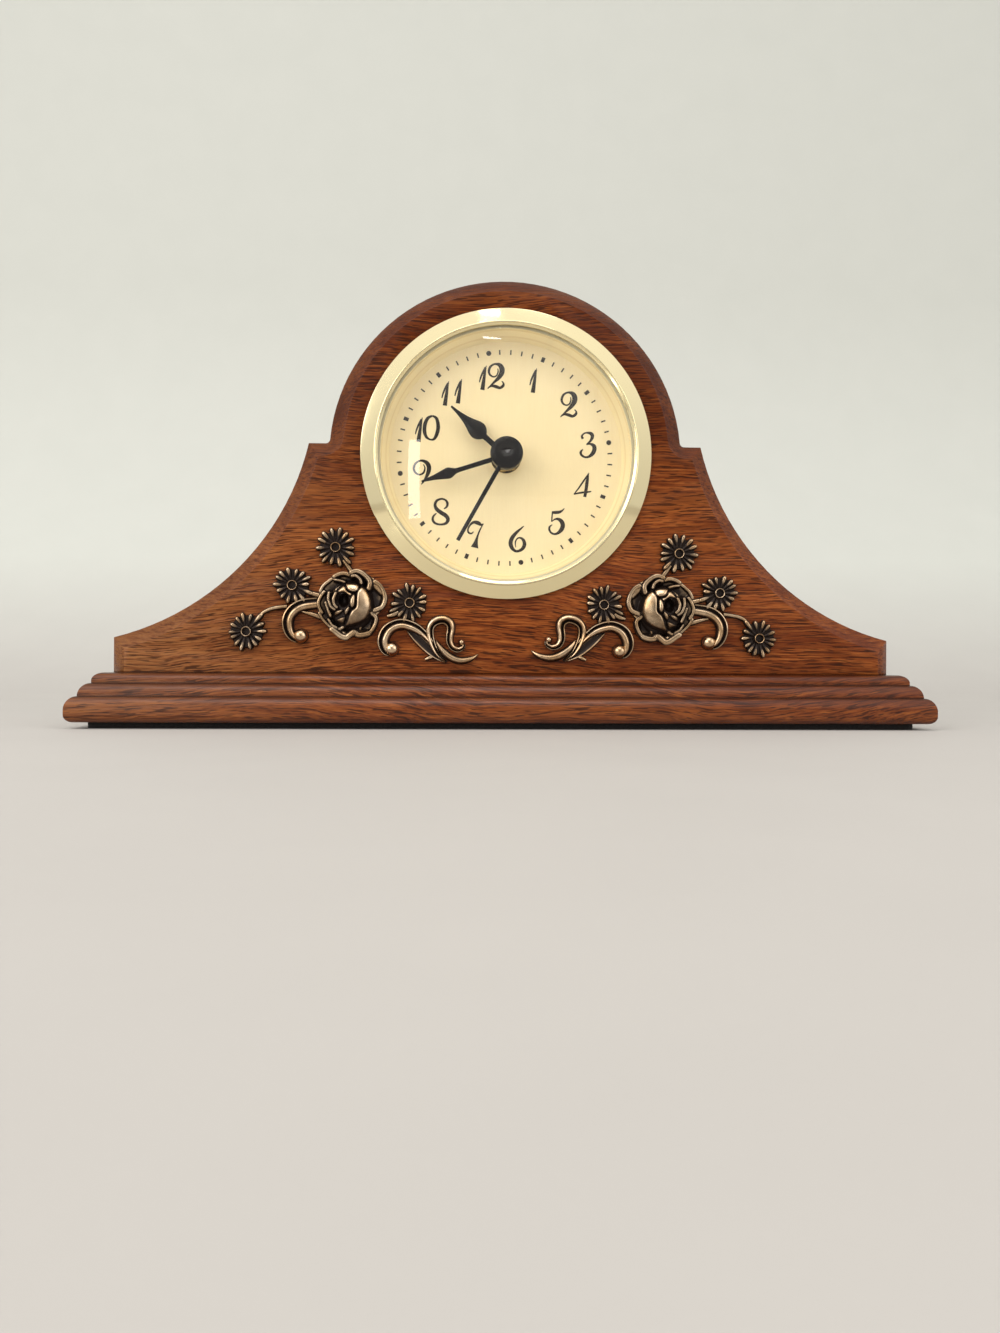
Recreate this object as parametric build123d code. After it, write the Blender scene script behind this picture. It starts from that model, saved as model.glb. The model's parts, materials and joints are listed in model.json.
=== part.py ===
from build123d import *
from math import cos, pi, radians, sin, sqrt
import os

# Shelf clock with a domed case, a twist-fit quartz insert and a pair of floral mounts.
# X runs right, Y runs back and Z runs up; the origin is under the middle of the felt.

# Base: a felt pad under three rounded tiers
BASE_WIDTH = 222.0
BASE_OVERHANG = 8.3
FELT_THICKNESS = 1.6
FELT_INSET = 4.2
FELT_CORNER = 1.5
NOSE_HEIGHT = 6.6
NOSE_TREAD = 2.5
MIDDLE_HEIGHT = 3.3
MIDDLE_TREAD = 2.6
TOP_HEIGHT = 2.7

# Rounds of the base: heights as shares of their tier, the top one's reach as a share of the room for it
NOSE_ROUND = 0.52
FOOT_ROUND = 0.3
TOP_ROUND = 0.75
TOP_ROUND_REACH = 0.8

# Length of a curve's handle that makes it a quarter of an ellipse
QUARTER = 0.552

# Case body, heights measured from the top of the base
BODY_DEPTH = 38.0
END_HEIGHT = 9.2
AXIS_HEIGHT = 57.5
ARCH_RADIUS = 46.7
SHOULDER_HEIGHT = 60.7
SHOULDER_WIDTH = 5.5
SLOPE_SAG = 10.1
NOTCH_ROUND = 1.2
FRONT_CHAMFER = 4.0
BORE_RADIUS = 35.9

# Wood screws through the base into the body
SCREW_SPACING = 120.0
SCREW_HEAD_RADIUS = 3.6
SCREW_RADIUS = 1.9
SCREW_LENGTH = 26.0
SCREW_HEAD_EDGE = 0.4
SCREW_POINT = 3.0
SCREW_SLOT = 0.8
SCREW_SLOT_LENGTH = 3.4
SCREW_SLOT_DEPTH = 1.2

# Floral mounts
MOUNT_SPACING = 81.2
MOUNT_CLEARANCE = 3.0
MOUNT_HEIGHT = 17.1
MOUNT_DROP = 0.85
MOUNT_TILT = 1.1
ROSE_RADIUS = 9.3
DAISY_RADIUS = 4.9
PETALS = 14
INNER_DAISY = 1.63
MOUNT_SINK = 0.5
BAND_STEPS = 5
BAND_RISE = 2.0

# A scroll's section: shares of its half width, and of its rise at each
BAND_SECTION = ((-1.0, 0.0), (-0.6, 0.75), (0.0, 1.0), (0.6, 0.75), (1.0, 0.0))

# Insert, depths measured inwards from the wood's front face
TWIST = 9.0
BEZEL_RADIUS = 38.1
BEZEL_EDGE = 0.9
BEZEL_RISE = 1.7
BEAD_RISE = 0.25
BEAD_HALF_WIDTH = 0.3
BEZEL_EASE = 0.3
LIP_WIDTH = 0.45
LIP_THICKNESS = 0.6
CUP_RADIUS = 33.9
CUP_WALL = 2.0
SLEEVE_WALL = 0.85
CUP_LIP = 2.4
CUP_LIP_THICKNESS = 1.5
FLANGE_RISE = 0.7
FLANGE_THICKNESS = 0.9
SLEEVE_DEPTH = 8.0
RING_DEPTH = 8.0
RING_GAP = 0.3
RIB_RISE = 0.6
GRIP_RIBS = 3
STACK_GAP = 0.1
LENS_SEAT = -0.9
LENS_THICKNESS = 1.2
LENS_DOME = 4.4
LENS_RIM = 0.85
DIAL_DEPTH = 5.2
DIAL_THICKNESS = 0.5
REVEAL_WIDTH = 2.9
REVEAL_EDGE = 1.0

# Hands
HOUR_LENGTH = 19.4
MINUTE_LENGTH = 23.3
SECOND_LENGTH = 25.9
HAND_THICKNESS = 0.45
HOUR_STEM = 0.73
HOUR_LEAF = 2.25
MINUTE_STEM = 0.61
MINUTE_LEAF = 1.45
HAND_TIP = 0.2
SECOND_TIP = 0.5
HOUR_ANGLE = 311.7
MINUTE_ANGLE = 252.2
SECOND_ANGLE = 209.2
HUB_RIM = 1.4
SECOND_HUB_RADIUS = 1.6
HOUR_HAND_GAP = 0.3
MINUTE_HAND_GAP = 0.7
SECOND_HAND_GAP = 0.9
CAP_RADIUS = 4.3
CAP_HEIGHT = 2.7

# Movement
PLATE_THICKNESS = 1.2
COVER_GAP = 0.4
COVER_WALL = 1.2
WHEEL_THICKNESS = 1.0
WHEEL_GAP = 0.6
MODULE = 0.28
ARBOR_RADIUS = 0.4
PIVOT_DEPTH = 0.6
SECOND_ARBOR_RADIUS = 0.35
MINUTE_PIPE_RADIUS = 0.85
HOUR_PIPE_RADIUS = 1.5
BUSH_RADIUS = 2.6
BUSH_LENGTH = 2.0
NUT_WALL = 1.2
NUT_THICKNESS = 1.2
WASHER_WIDTH = 1.5
WASHER_THICKNESS = 0.3
RUN = 0.07
SNUG = 0.02
PIVOT_SHAKE = 0.1
CELL_RADIUS = 6.0
CELL_LENGTH = 30.2
CELL_NUB = 0.7
CONTACT_THICKNESS = 0.4
CONTACT_HALF_WIDTH = 4.5
LEAF_HALF_WIDTH = 2.2
NUB_RADIUS = 1.9
BAY_WALL = 1.0
BAY_FLOOR_THICKNESS = 0.6
CELL_CLEARANCE = 0.3
BAY_END_ROOM = 2.0
KNOB_RADIUS = 3.8
KNOB_THICKNESS = 3.0
KNOB_GAP = 0.3
KNOB_FLUTES = 12
FLUTE_RADIUS = 0.55
SETTING_RADIUS = 1.0
KNOB_SOCKET = 1.7

# Motor and board
MAGNET_RADIUS = 1.5
MAGNET_LENGTH = 2.0
STATOR_THICKNESS = 1.0
STATOR_BORE = 1.9
STATOR_MARGIN = 2.9
COIL_OFFSET = 7.4
COIL_HALF = 7.2
COIL_RADIUS = 2.8
CORE_WIDTH = 2.0
CORE_OVERLAP = 3.0
BOBBIN_WALL = 0.5
BOBBIN_FLANGE = 0.8
BOARD_WIDTH = 11.0
BOARD_HEIGHT = 14.0
BOARD_THICKNESS = 1.0
POST_RADIUS = 1.2
POST_HEIGHT = 1.2
CHIP_RADIUS = 2.4
CHIP_THICKNESS = 1.1
CAN_RADIUS = 1.0
CAN_LENGTH = 6.0

# Tooth counts
ROTOR_PINION = 8
INTERMEDIATE_WHEEL = 40
INTERMEDIATE_PINION = 10
SECONDS_WHEEL = 60
SECONDS_PINION = 8
THIRD_WHEEL = 60
THIRD_PINION = 8
CENTRE_WHEEL = 64
CANNON_PINION = 10
MINUTE_WHEEL = 30
MINUTE_PINION = 8
HOUR_WHEEL = 32
SETTING_PINION = 12

# Directions of the arbors around the dial axis, clockwise from twelve
THIRD_ANGLE = 55.0
MINUTE_WHEEL_ANGLE = -10.0
INTERMEDIATE_ANGLE = -60.0
ROTOR_ANGLE = -80.0

# Heights and faces that follow from the sizes above
BASE_BODY_WIDTH = BASE_WIDTH - 2 * BASE_OVERHANG
BASE_DEPTH = BODY_DEPTH + 2 * BASE_OVERHANG
NOSE_TOP = FELT_THICKNESS + NOSE_HEIGHT
MIDDLE_TOP = NOSE_TOP + MIDDLE_HEIGHT
BODY_Z = MIDDLE_TOP + TOP_HEIGHT
AXIS_Z = BODY_Z + AXIS_HEIGHT
FACE_Y = -BODY_DEPTH / 2

# Depths of the layers of the insert
LENS_BACK = LENS_SEAT + LENS_THICKNESS
DIAL_BACK = DIAL_DEPTH + DIAL_THICKNESS
PLATE_BACK = DIAL_BACK + PLATE_THICKNESS
LEVEL = WHEEL_THICKNESS + WHEEL_GAP
HOUR_LEVEL = PLATE_BACK + WHEEL_GAP
MOTION_LEVEL = HOUR_LEVEL + LEVEL
CENTRE_LEVEL = MOTION_LEVEL + LEVEL
SECONDS_LEVEL = CENTRE_LEVEL + LEVEL
THIRD_LEVEL = SECONDS_LEVEL + LEVEL
INTERMEDIATE_LEVEL = THIRD_LEVEL + LEVEL
COVER_INNER = INTERMEDIATE_LEVEL + LEVEL + WHEEL_GAP
COVER_BACK = COVER_INNER + COVER_WALL
COVER_RADIUS = CUP_RADIUS - CUP_WALL - COVER_GAP
CUP_BACK = COVER_BACK + CUP_LIP_THICKNESS
STACK_RADIUS = CUP_RADIUS - STACK_GAP
ARBOR_FRONT = PLATE_BACK - PIVOT_DEPTH
ARBOR_BACK = COVER_INNER + PIVOT_DEPTH
BUSH_FRONT = DIAL_DEPTH - BUSH_LENGTH
HOUR_HAND_BACK = BUSH_FRONT - HOUR_HAND_GAP
MINUTE_HAND_BACK = HOUR_HAND_BACK - HAND_THICKNESS - MINUTE_HAND_GAP
SECOND_HAND_BACK = MINUTE_HAND_BACK - HAND_THICKNESS - SECOND_HAND_GAP

# Cell bay in the lower half of the movement
BAY_FLOOR = PLATE_BACK + BAY_FLOOR_THICKNESS
CELL_DEPTH = BAY_FLOOR + CELL_RADIUS + CELL_CLEARANCE
BAY_HALF_HEIGHT = CELL_RADIUS + CELL_CLEARANCE
BAY_HALF_LENGTH = CELL_LENGTH / 2 + BAY_END_ROOM

# Tooth form as shares of the module or of the tooth pitch
TIP_HEIGHT = 0.7
ROOT_DEPTH = 1.0
TOOTH_WIDTH = 0.34
TIP_WIDTH = 0.18
ROOT_SHARE = 0.85


def polar(angle, distance, start=(0.0, 0.0)):
    """A point at an angle clockwise from up."""
    return (start[0] + distance * sin(radians(angle)), start[1] + distance * cos(radians(angle)))


# Arbor places in the train, as seen from the front
SECONDS_MESH = MODULE * (INTERMEDIATE_PINION + SECONDS_WHEEL) / 2
ROTOR_MESH = MODULE * (ROTOR_PINION + INTERMEDIATE_WHEEL) / 2
THIRD_MESH = MODULE * (SECONDS_PINION + THIRD_WHEEL) / 2
MINUTE_MESH = MODULE * (CANNON_PINION + MINUTE_WHEEL) / 2
SETTING_MESH = MODULE * (MINUTE_WHEEL + SETTING_PINION) / 2
CENTRE_MODULE = 2 * THIRD_MESH / (THIRD_PINION + CENTRE_WHEEL)
HOUR_MODULE = 2 * MINUTE_MESH / (MINUTE_PINION + HOUR_WHEEL)
CENTRE_AT = (0.0, 0.0)
THIRD_AT = polar(THIRD_ANGLE, THIRD_MESH)
INTERMEDIATE_AT = polar(INTERMEDIATE_ANGLE, SECONDS_MESH)
ROTOR_AT = polar(ROTOR_ANGLE, ROTOR_MESH, INTERMEDIATE_AT)
MINUTE_AT = polar(MINUTE_WHEEL_ANGLE, MINUTE_MESH)
SETTING_AT = polar(MINUTE_WHEEL_ANGLE, MINUTE_MESH + SETTING_MESH)
CENTRE_TIP = CENTRE_MODULE * (CENTRE_WHEEL / 2 + TIP_HEIGHT)
BAY_Z = -CENTRE_TIP - WHEEL_GAP - BAY_WALL - BAY_HALF_HEIGHT
STATOR_LEVEL = SECONDS_LEVEL
STATOR_BACK = STATOR_LEVEL + STATOR_THICKNESS
COIL_X = ROTOR_AT[0] - COIL_OFFSET
COIL_LOW = ROTOR_AT[1] - COIL_HALF
COIL_HIGH = ROTOR_AT[1] + COIL_HALF
COIL_DEPTH = STATOR_BACK + STATOR_THICKNESS / 2
BOARD_FRONT = PLATE_BACK + POST_HEIGHT
BOARD_BACK = BOARD_FRONT + BOARD_THICKNESS
BOARD_AT = (COVER_RADIUS - BOARD_WIDTH, 0.0)


def turned(*points):
    """Turn a closed profile of (radius, depth) points around the dial axis."""
    return revolve(make_face(Polyline(*points, close=True)), Axis.Y)


def slab(face, front, back):
    """Extrude a face drawn in X and Z between two depths."""
    return extrude(Plane.XZ.offset(-front) * face, amount=back - front, dir=(0, 1, 0))


def rod(place, radius, front, back):
    """A round rod along Y."""
    return slab(Pos(*place) * Circle(radius), front, back)


def block(x_span, y_span, z_span):
    """A box between two limits on each axis."""
    spans = (x_span, y_span, z_span)
    size = [high - low for low, high in spans]
    middle = [(low + high) / 2 for low, high in spans]
    return Pos(*middle) * Box(*size)


def toothed(place, teeth, module, angle, front, thickness=WHEEL_THICKNESS):
    """A toothed disc with the middle of one tooth at an angle clockwise from up."""
    pitch_radius = module * teeth / 2
    tip_radius = pitch_radius + TIP_HEIGHT * module
    root_radius = pitch_radius - ROOT_DEPTH * module
    half_pitch_line = TOOTH_WIDTH * pi * module / 2
    half_tip = TIP_WIDTH * pi * module / 2
    half_root = half_pitch_line + (half_pitch_line - half_tip) * ROOT_DEPTH / TIP_HEIGHT
    half_root = min(half_root, ROOT_SHARE * pi * root_radius / teeth)
    edge = ((root_radius, -half_root), (tip_radius, -half_tip),
            (tip_radius, half_tip), (root_radius, half_root))
    points = []
    for tooth in range(teeth):
        middle = radians(angle) + 2 * pi * tooth / teeth
        for radius, offset in edge:
            turn = middle + offset / radius
            points.append((place[0] + radius * sin(turn), place[1] + radius * cos(turn)))
    return slab(make_face(Polyline(*points, close=True)), front, front + thickness)


def solid_from(polygons):
    """Sew flat polygons into one closed solid."""
    wires = [Wire.make_polygon([Vector(*point) for point in polygon], close=True) for polygon in polygons]
    return Solid(Shell([Face(wire) for wire in wires]))


def case_body():
    """The domed slab with stepped shoulders, sweeping sides, a chamfered front and the insert's bore."""
    half = BASE_BODY_WIDTH / 2
    end_z = BODY_Z + END_HEIGHT
    shoulder_z = BODY_Z + SHOULDER_HEIGHT
    arch_x = sqrt(ARCH_RADIUS ** 2 - (shoulder_z - AXIS_Z) ** 2)
    shoulder_x = arch_x + SHOULDER_WIDTH
    outline = make_face([
        Line((-half, BODY_Z), (half, BODY_Z)),
        Line((half, BODY_Z), (half, end_z)),
        SagittaArc((half, end_z), (shoulder_x, shoulder_z), SLOPE_SAG),
        Line((shoulder_x, shoulder_z), (arch_x, shoulder_z)),
        ThreePointArc((arch_x, shoulder_z), (0, AXIS_Z + ARCH_RADIUS), (-arch_x, shoulder_z)),
        Line((-arch_x, shoulder_z), (-shoulder_x, shoulder_z)),
        SagittaArc((-shoulder_x, shoulder_z), (-half, end_z), SLOPE_SAG),
        Line((-half, end_z), (-half, BODY_Z)),
    ])
    notches = [v for v in outline.vertices() if abs(abs(v.X) - arch_x) < 0.01 and v.Y > end_z]
    body = slab(fillet(notches, NOTCH_ROUND), FACE_Y, -FACE_Y)
    front_edges = body.faces().sort_by(Axis.Y)[0].outer_wire().edges()
    body = chamfer(front_edges.sort_by(Axis.Z)[1:], FRONT_CHAMFER)
    body -= rod((0, AXIS_Z), BORE_RADIUS, FACE_Y, -FACE_Y)
    for side in (-1, 1):
        body -= Pos(side * SCREW_SPACING / 2, 0, FELT_THICKNESS) * screw_shape(SNUG)
    return body


def quarter(start, end):
    """A quarter of an ellipse that leaves its start upright and arrives level."""
    across, up = end[0] - start[0], end[1] - start[1]
    return Bezier(start, (start[0], start[1] + QUARTER * up), (end[0] - QUARTER * across, end[1]), end)


def base_section(half):
    """The section of the base, half of its width to each side: a rounded nose and two rounded tiers."""
    foot = FOOT_ROUND * NOSE_HEIGHT
    nose_start = NOSE_TOP - NOSE_ROUND * NOSE_HEIGHT
    middle = half - NOSE_TREAD
    top = middle - MIDDLE_TREAD
    top_start = BODY_Z - TOP_ROUND * TOP_HEIGHT
    top_end = top - TOP_ROUND_REACH * (BASE_OVERHANG - NOSE_TREAD - MIDDLE_TREAD)
    side = [
        Line((0, FELT_THICKNESS), (half - foot, FELT_THICKNESS)),
        quarter((half, FELT_THICKNESS + foot), (half - foot, FELT_THICKNESS)),
        Line((half, FELT_THICKNESS + foot), (half, nose_start)),
        quarter((half, nose_start), (middle, NOSE_TOP)),
        quarter((middle, NOSE_TOP), (top, MIDDLE_TOP)),
        Line((top, MIDDLE_TOP), (top, top_start)),
        quarter((top, top_start), (top_end, BODY_Z)),
        Line((top_end, BODY_Z), (0, BODY_Z)),
    ]
    outline = side + [mirror(edge, Plane.YZ) for edge in side]
    return make_face(outline)


def base_plinth():
    """A board with the same moulding on all four sides and countersunk holes for the two screws."""
    along = extrude(Plane.YZ * base_section(BASE_DEPTH / 2), BASE_WIDTH / 2, both=True)
    across = extrude(Plane.XZ * base_section(BASE_WIDTH / 2), BASE_DEPTH / 2, both=True)
    base = along & across
    for side in (-1, 1):
        base -= Pos(side * SCREW_SPACING / 2, 0, FELT_THICKNESS) * screw_shape(SNUG)
    return base


def screw_shape(grow):
    """A countersunk screw standing on its head, grown by a clearance for its hole."""
    head = SCREW_HEAD_RADIUS + grow
    shank = SCREW_RADIUS + grow
    profile = [
        (0, 0),
        (head, 0),
        (head, SCREW_HEAD_EDGE),
        (shank, SCREW_HEAD_EDGE + head - shank),
        (shank, SCREW_LENGTH - SCREW_POINT),
        (0, SCREW_LENGTH),
    ]
    return revolve(Plane.XZ * make_face(Polyline(*profile, close=True)), Axis.Z)


def base_screw(side):
    """One of the two screws, with a cross recess in its head."""
    screw = screw_shape(0)
    for size in ((SCREW_SLOT_LENGTH, SCREW_SLOT), (SCREW_SLOT, SCREW_SLOT_LENGTH)):
        screw -= Box(*size, 2 * SCREW_SLOT_DEPTH)
    return Pos(side * SCREW_SPACING / 2, 0, FELT_THICKNESS) * screw


def base_felt():
    """The felt pad that the clock stands on."""
    pad = RectangleRounded(BASE_WIDTH - 2 * FELT_INSET, BASE_DEPTH - 2 * FELT_INSET, FELT_CORNER)
    return extrude(pad, amount=FELT_THICKNESS)


def ruffle(radius, lobes, inner_share, valley_share, rim, floor):
    """A lobed cup or daisy: ridges and valleys run from the middle to the edge."""
    count = 2 * lobes
    outer, inner, foot = [], [], []
    for step in range(count):
        turn = 360.0 * step / count
        ridge = step % 2 == 0
        reach = radius if ridge else radius * valley_share
        across, up = polar(turn, reach)
        outer.append((across, -rim[0] if ridge else -rim[1], up))
        foot.append((across, MOUNT_SINK, up))
        across, up = polar(turn, radius * inner_share)
        inner.append((across, -floor[0] if ridge else -floor[1], up))
    middle = (0, -floor[1], 0)
    polygons = [foot]
    for step in range(count):
        after = (step + 1) % count
        polygons.append([foot[after], foot[step], outer[step], outer[after]])
        polygons.append([outer[after], outer[step], inner[step]])
        polygons.append([outer[after], inner[step], inner[after]])
        polygons.append([inner[after], inner[step], middle])
    return solid_from(polygons)


def band(points, widths, height):
    """A ridged ribbon along a smooth path, with half its width given at each of its points."""
    path = Spline(*[(x, z) for x, z in points])
    steps = BAND_STEPS * (len(points) - 1)
    rows = []
    for step in range(steps + 1):
        share = step / steps
        at, along = path @ share, path % share
        slot = min(int(share * (len(widths) - 1)), len(widths) - 2)
        blend = share * (len(widths) - 1) - slot
        half = widths[slot] * (1 - blend) + widths[slot + 1] * blend
        rise = height * min(1.0, half / max(widths)) ** 0.5
        row = []
        for side, lift in BAND_SECTION:
            depth = MOUNT_SINK if lift == 0 else -lift * rise
            row.append((at.X + side * half * along.Y, depth, at.Y - side * half * along.X))
        rows.append(row)
    polygons = [rows[0][::-1], rows[-1]]
    corners = len(BAND_SECTION)
    for near, far in zip(rows, rows[1:]):
        for corner in range(corners):
            after = (corner + 1) % corners
            polygons.append([near[corner], near[after], far[after]])
            polygons.append([near[corner], far[after], far[corner]])
    return solid_from(polygons)


def floral_mount(side):
    """A rose with four daisies and scrolls; the one on the right is the left one's mirror image."""
    rose = ROSE_RADIUS
    along = -side * rose
    mount = ruffle(rose, 9, 0.55, 0.93, (2.0, 2.7), (1.6, 1.9))
    mount += Pos(-0.12 * along, 0, 0.08 * rose) * Sphere(0.56 * rose)
    mount += Pos(0.33 * along, 0, 0) * Sphere(0.5 * rose)
    bands = (
        (((-0.95, 0.05), (-1.5, -0.05), (-1.86, -0.5), (-1.85, -0.85), (-1.5, -0.9)),
         (0.7, 1.5, 1.7, 1.5, 1.0)),
        (((1.15, -1.25), (0.9, -1.3), (0.86, -0.95), (1.2, -0.62), (1.65, -0.62), (2.15, -0.9)),
         (1.0, 1.4, 1.6, 1.6, 1.4, 1.1)),
        (((1.6, -0.7), (2.1, -1.2), (2.6, -1.58), (3.1, -1.6), (3.55, -1.4)), (1.3, 1.6, 1.6, 1.2, 0.4)),
        (((2.3, -1.25), (2.2, -0.75), (2.48, -0.38), (2.85, -0.5), (2.86, -0.95), (3.1, -1.02)),
         (1.2, 1.2, 1.3, 1.3, 1.2, 0.7)),
        (((-0.25, 0.85), (-0.44, 1.45)), (0.8, 0.8)),
        (((-0.85, 0.3), (-1.5, 0.52)), (0.8, 0.8)),
        (((-1.7, -0.15), (-2.2, -0.2), (-2.75, -0.5)), (0.8, 0.7, 0.8)),
        (((0.9, 0.02), (1.5, 0.04)), (0.8, 0.8)),
        (((1.63, -0.1), (1.5, -0.6)), (0.8, 0.8)),
    )
    for points, widths in bands:
        mount += band([(x * along, z * rose) for x, z in points], widths, min(BAND_RISE, 1.3 * max(widths)))
    for place in ((-0.46, 1.58), (-1.67, 0.56), (-2.93, -0.73), (INNER_DAISY, 0.04)):
        daisy = ruffle(DAISY_RADIUS, PETALS, 0.3, 0.88, (0.9, 0.4), (1.7, 1.2))
        eye = rod((0, 0), 0.3 * DAISY_RADIUS, -2.1, 0) - rod((0, 0), 0.15 * DAISY_RADIUS, -2.1, -1.5)
        mount += Pos(place[0] * along, 0, place[1] * rose) * (daisy + eye)
    for place, radius in (((-1.47, -0.87), 1.9), ((1.15, -1.25), 1.8), ((2.13, -1.45), 1.1)):
        mount += Pos(place[0] * along, 0, place[1] * rose) * Sphere(radius)
    room = 5 * rose
    mount -= block((-room, room), (0, room), (-room, room))
    height = BODY_Z + MOUNT_HEIGHT - side * MOUNT_DROP
    reach = BEZEL_RADIUS + MOUNT_CLEARANCE + DAISY_RADIUS
    beside_bezel = sqrt(max(0.0, reach ** 2 - (AXIS_Z - height) ** 2)) + INNER_DAISY * rose
    across = max(MOUNT_SPACING / 2, beside_bezel)
    return Pos(side * across, FACE_Y, height) * Rot(0, MOUNT_TILT * (1 + side), 0) * mount


def bezel():
    """The turned brass ring: a conical face, a bead, a lip over the lens and a sleeve into the bore."""
    sleeve_in = CUP_RADIUS + SNUG
    sleeve_out = sleeve_in + SLEEVE_WALL
    bead_out = sleeve_in + 2 * BEAD_HALF_WIDTH
    front = -BEZEL_RISE
    lip = sleeve_in - LIP_WIDTH
    profile = make_face([
        Polyline((bead_out, front), (BEZEL_RADIUS - BEZEL_EASE, -BEZEL_EDGE),
                 (BEZEL_RADIUS, BEZEL_EASE - BEZEL_EDGE), (BEZEL_RADIUS, 0), (sleeve_out, 0),
                 (sleeve_out, SLEEVE_DEPTH), (sleeve_in, SLEEVE_DEPTH), (sleeve_in, LENS_SEAT),
                 (lip, LENS_SEAT), (lip, LENS_SEAT - LIP_THICKNESS), (sleeve_in, front)),
        ThreePointArc((sleeve_in, front), (sleeve_in + BEAD_HALF_WIDTH, front - BEAD_RISE),
                      (bead_out, front)),
    ])
    return revolve(profile, Axis.Y)


def lens():
    """The domed clear front, held by its rim behind the bezel's lip."""
    rim = STACK_RADIUS
    neck = rim - LENS_RIM
    top = LENS_SEAT - LENS_DOME
    radius = (neck ** 2 + LENS_DOME ** 2) / (2 * LENS_DOME)
    reach = 0.5 * neck
    sag = radius - sqrt(radius ** 2 - reach ** 2)
    profile = make_face([
        ThreePointArc((0, top), (reach, top + sag), (neck, LENS_SEAT)),
        Polyline((neck, LENS_SEAT), (rim, LENS_SEAT), (rim, LENS_BACK), (neck, LENS_BACK)),
        ThreePointArc((neck, LENS_BACK), (reach, top + sag + LENS_THICKNESS), (0, top + LENS_THICKNESS)),
        Line((0, top + LENS_THICKNESS), (0, top)),
    ])
    return revolve(profile, Axis.Y)


def dial_ring():
    """The sloping inner ring between the lens and the dial."""
    rim = STACK_RADIUS
    return turned((rim - REVEAL_EDGE, LENS_BACK), (rim, LENS_BACK), (rim, DIAL_DEPTH),
                  (rim - REVEAL_WIDTH, DIAL_DEPTH))


def dial():
    """The thin metal dial with its centre hole."""
    return slab(Circle(STACK_RADIUS) - Circle(BUSH_RADIUS + STACK_GAP), DIAL_DEPTH, DIAL_BACK)


def insert_cup():
    """The black cup behind the dial, open at the back, with a flange that keeps the grip ring on."""
    flange = SLEEVE_DEPTH + RING_DEPTH + 2 * RING_GAP
    flange_back = flange + FLANGE_THICKNESS
    flange_radius = CUP_RADIUS + FLANGE_RISE
    inner = CUP_RADIUS - CUP_WALL
    lip = inner - CUP_LIP
    return turned((inner, DIAL_BACK), (CUP_RADIUS, DIAL_BACK), (CUP_RADIUS, flange),
                  (flange_radius, flange), (flange_radius, flange_back), (CUP_RADIUS, flange_back),
                  (CUP_RADIUS, CUP_BACK),
                  (lip, CUP_BACK), (lip, COVER_BACK), (inner, COVER_BACK))


def grip_ring():
    """The ribbed rubber ring that holds the insert in the bore and lets it twist."""
    front = SLEEVE_DEPTH + RING_GAP
    ring = rod((0, 0), BORE_RADIUS - RUN - RIB_RISE, front, front + RING_DEPTH)
    rib = RING_DEPTH / (2 * GRIP_RIBS + 2)
    for number in range(GRIP_RIBS):
        start = front + (2 * number + 1.5) * rib
        ring += rod((0, 0), BORE_RADIUS - RUN, start, start + rib)
    return ring - rod((0, 0), CUP_RADIUS + RUN, front, front + RING_DEPTH)


def movement_plate():
    """The front plate with its threaded bush, the pivot holes, a stud and the board's posts."""
    plate = rod((0, 0), COVER_RADIUS, DIAL_BACK, PLATE_BACK)
    plate += rod(CENTRE_AT, BUSH_RADIUS, BUSH_FRONT, DIAL_BACK)
    plate += rod(MINUTE_AT, ARBOR_RADIUS, PLATE_BACK, MOTION_LEVEL + WHEEL_THICKNESS)
    for side in (-1, 1):
        post_at = (BOARD_AT[0], BOARD_AT[1] + side * (BOARD_HEIGHT / 2 - POST_RADIUS))
        plate += rod(post_at, POST_RADIUS, PLATE_BACK, BOARD_FRONT)
    plate -= rod(CENTRE_AT, HOUR_PIPE_RADIUS + RUN, BUSH_FRONT, PLATE_BACK)
    for place in (THIRD_AT, INTERMEDIATE_AT, ROTOR_AT, SETTING_AT):
        plate -= rod(place, ARBOR_RADIUS + RUN, ARBOR_FRONT, PLATE_BACK)
    return plate


def movement_cover():
    """The round back cover with the rear pivot holes, the knob's hole and the open cell bay."""
    cover = rod((0, 0), COVER_RADIUS, PLATE_BACK, COVER_BACK)
    room = rod((0, 0), COVER_RADIUS - COVER_WALL, PLATE_BACK, COVER_INNER)
    length = BAY_HALF_LENGTH + BAY_WALL
    height = BAY_HALF_HEIGHT + BAY_WALL
    room -= block((-length, length), (PLATE_BACK, COVER_INNER), (BAY_Z - height, BAY_Z + height))
    cover -= room
    cover -= block((-BAY_HALF_LENGTH, BAY_HALF_LENGTH), (BAY_FLOOR, COVER_BACK),
                   (BAY_Z - BAY_HALF_HEIGHT, BAY_Z + BAY_HALF_HEIGHT))
    for place in (CENTRE_AT, THIRD_AT, INTERMEDIATE_AT, ROTOR_AT):
        cover -= rod(place, ARBOR_RADIUS + RUN, COVER_INNER, ARBOR_BACK)
    return cover - rod(SETTING_AT, SETTING_RADIUS + RUN, COVER_INNER, COVER_BACK)


def hand_nut():
    """The hexagon nut that clamps the dial to the bush."""
    back = DIAL_DEPTH - WASHER_THICKNESS
    ring = RegularPolygon(BUSH_RADIUS + NUT_WALL, 6) - Circle(BUSH_RADIUS + SNUG)
    return slab(ring, back - NUT_THICKNESS, back)


def nut_washer():
    """The thin washer under the nut."""
    ring = Circle(BUSH_RADIUS + WASHER_WIDTH) - Circle(BUSH_RADIUS + STACK_GAP)
    return slab(ring, DIAL_DEPTH - WASHER_THICKNESS, DIAL_DEPTH)


def circuit_board():
    """The board on its two posts."""
    return slab(Pos(*BOARD_AT) * Rectangle(BOARD_WIDTH, BOARD_HEIGHT), BOARD_FRONT, BOARD_BACK)


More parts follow.
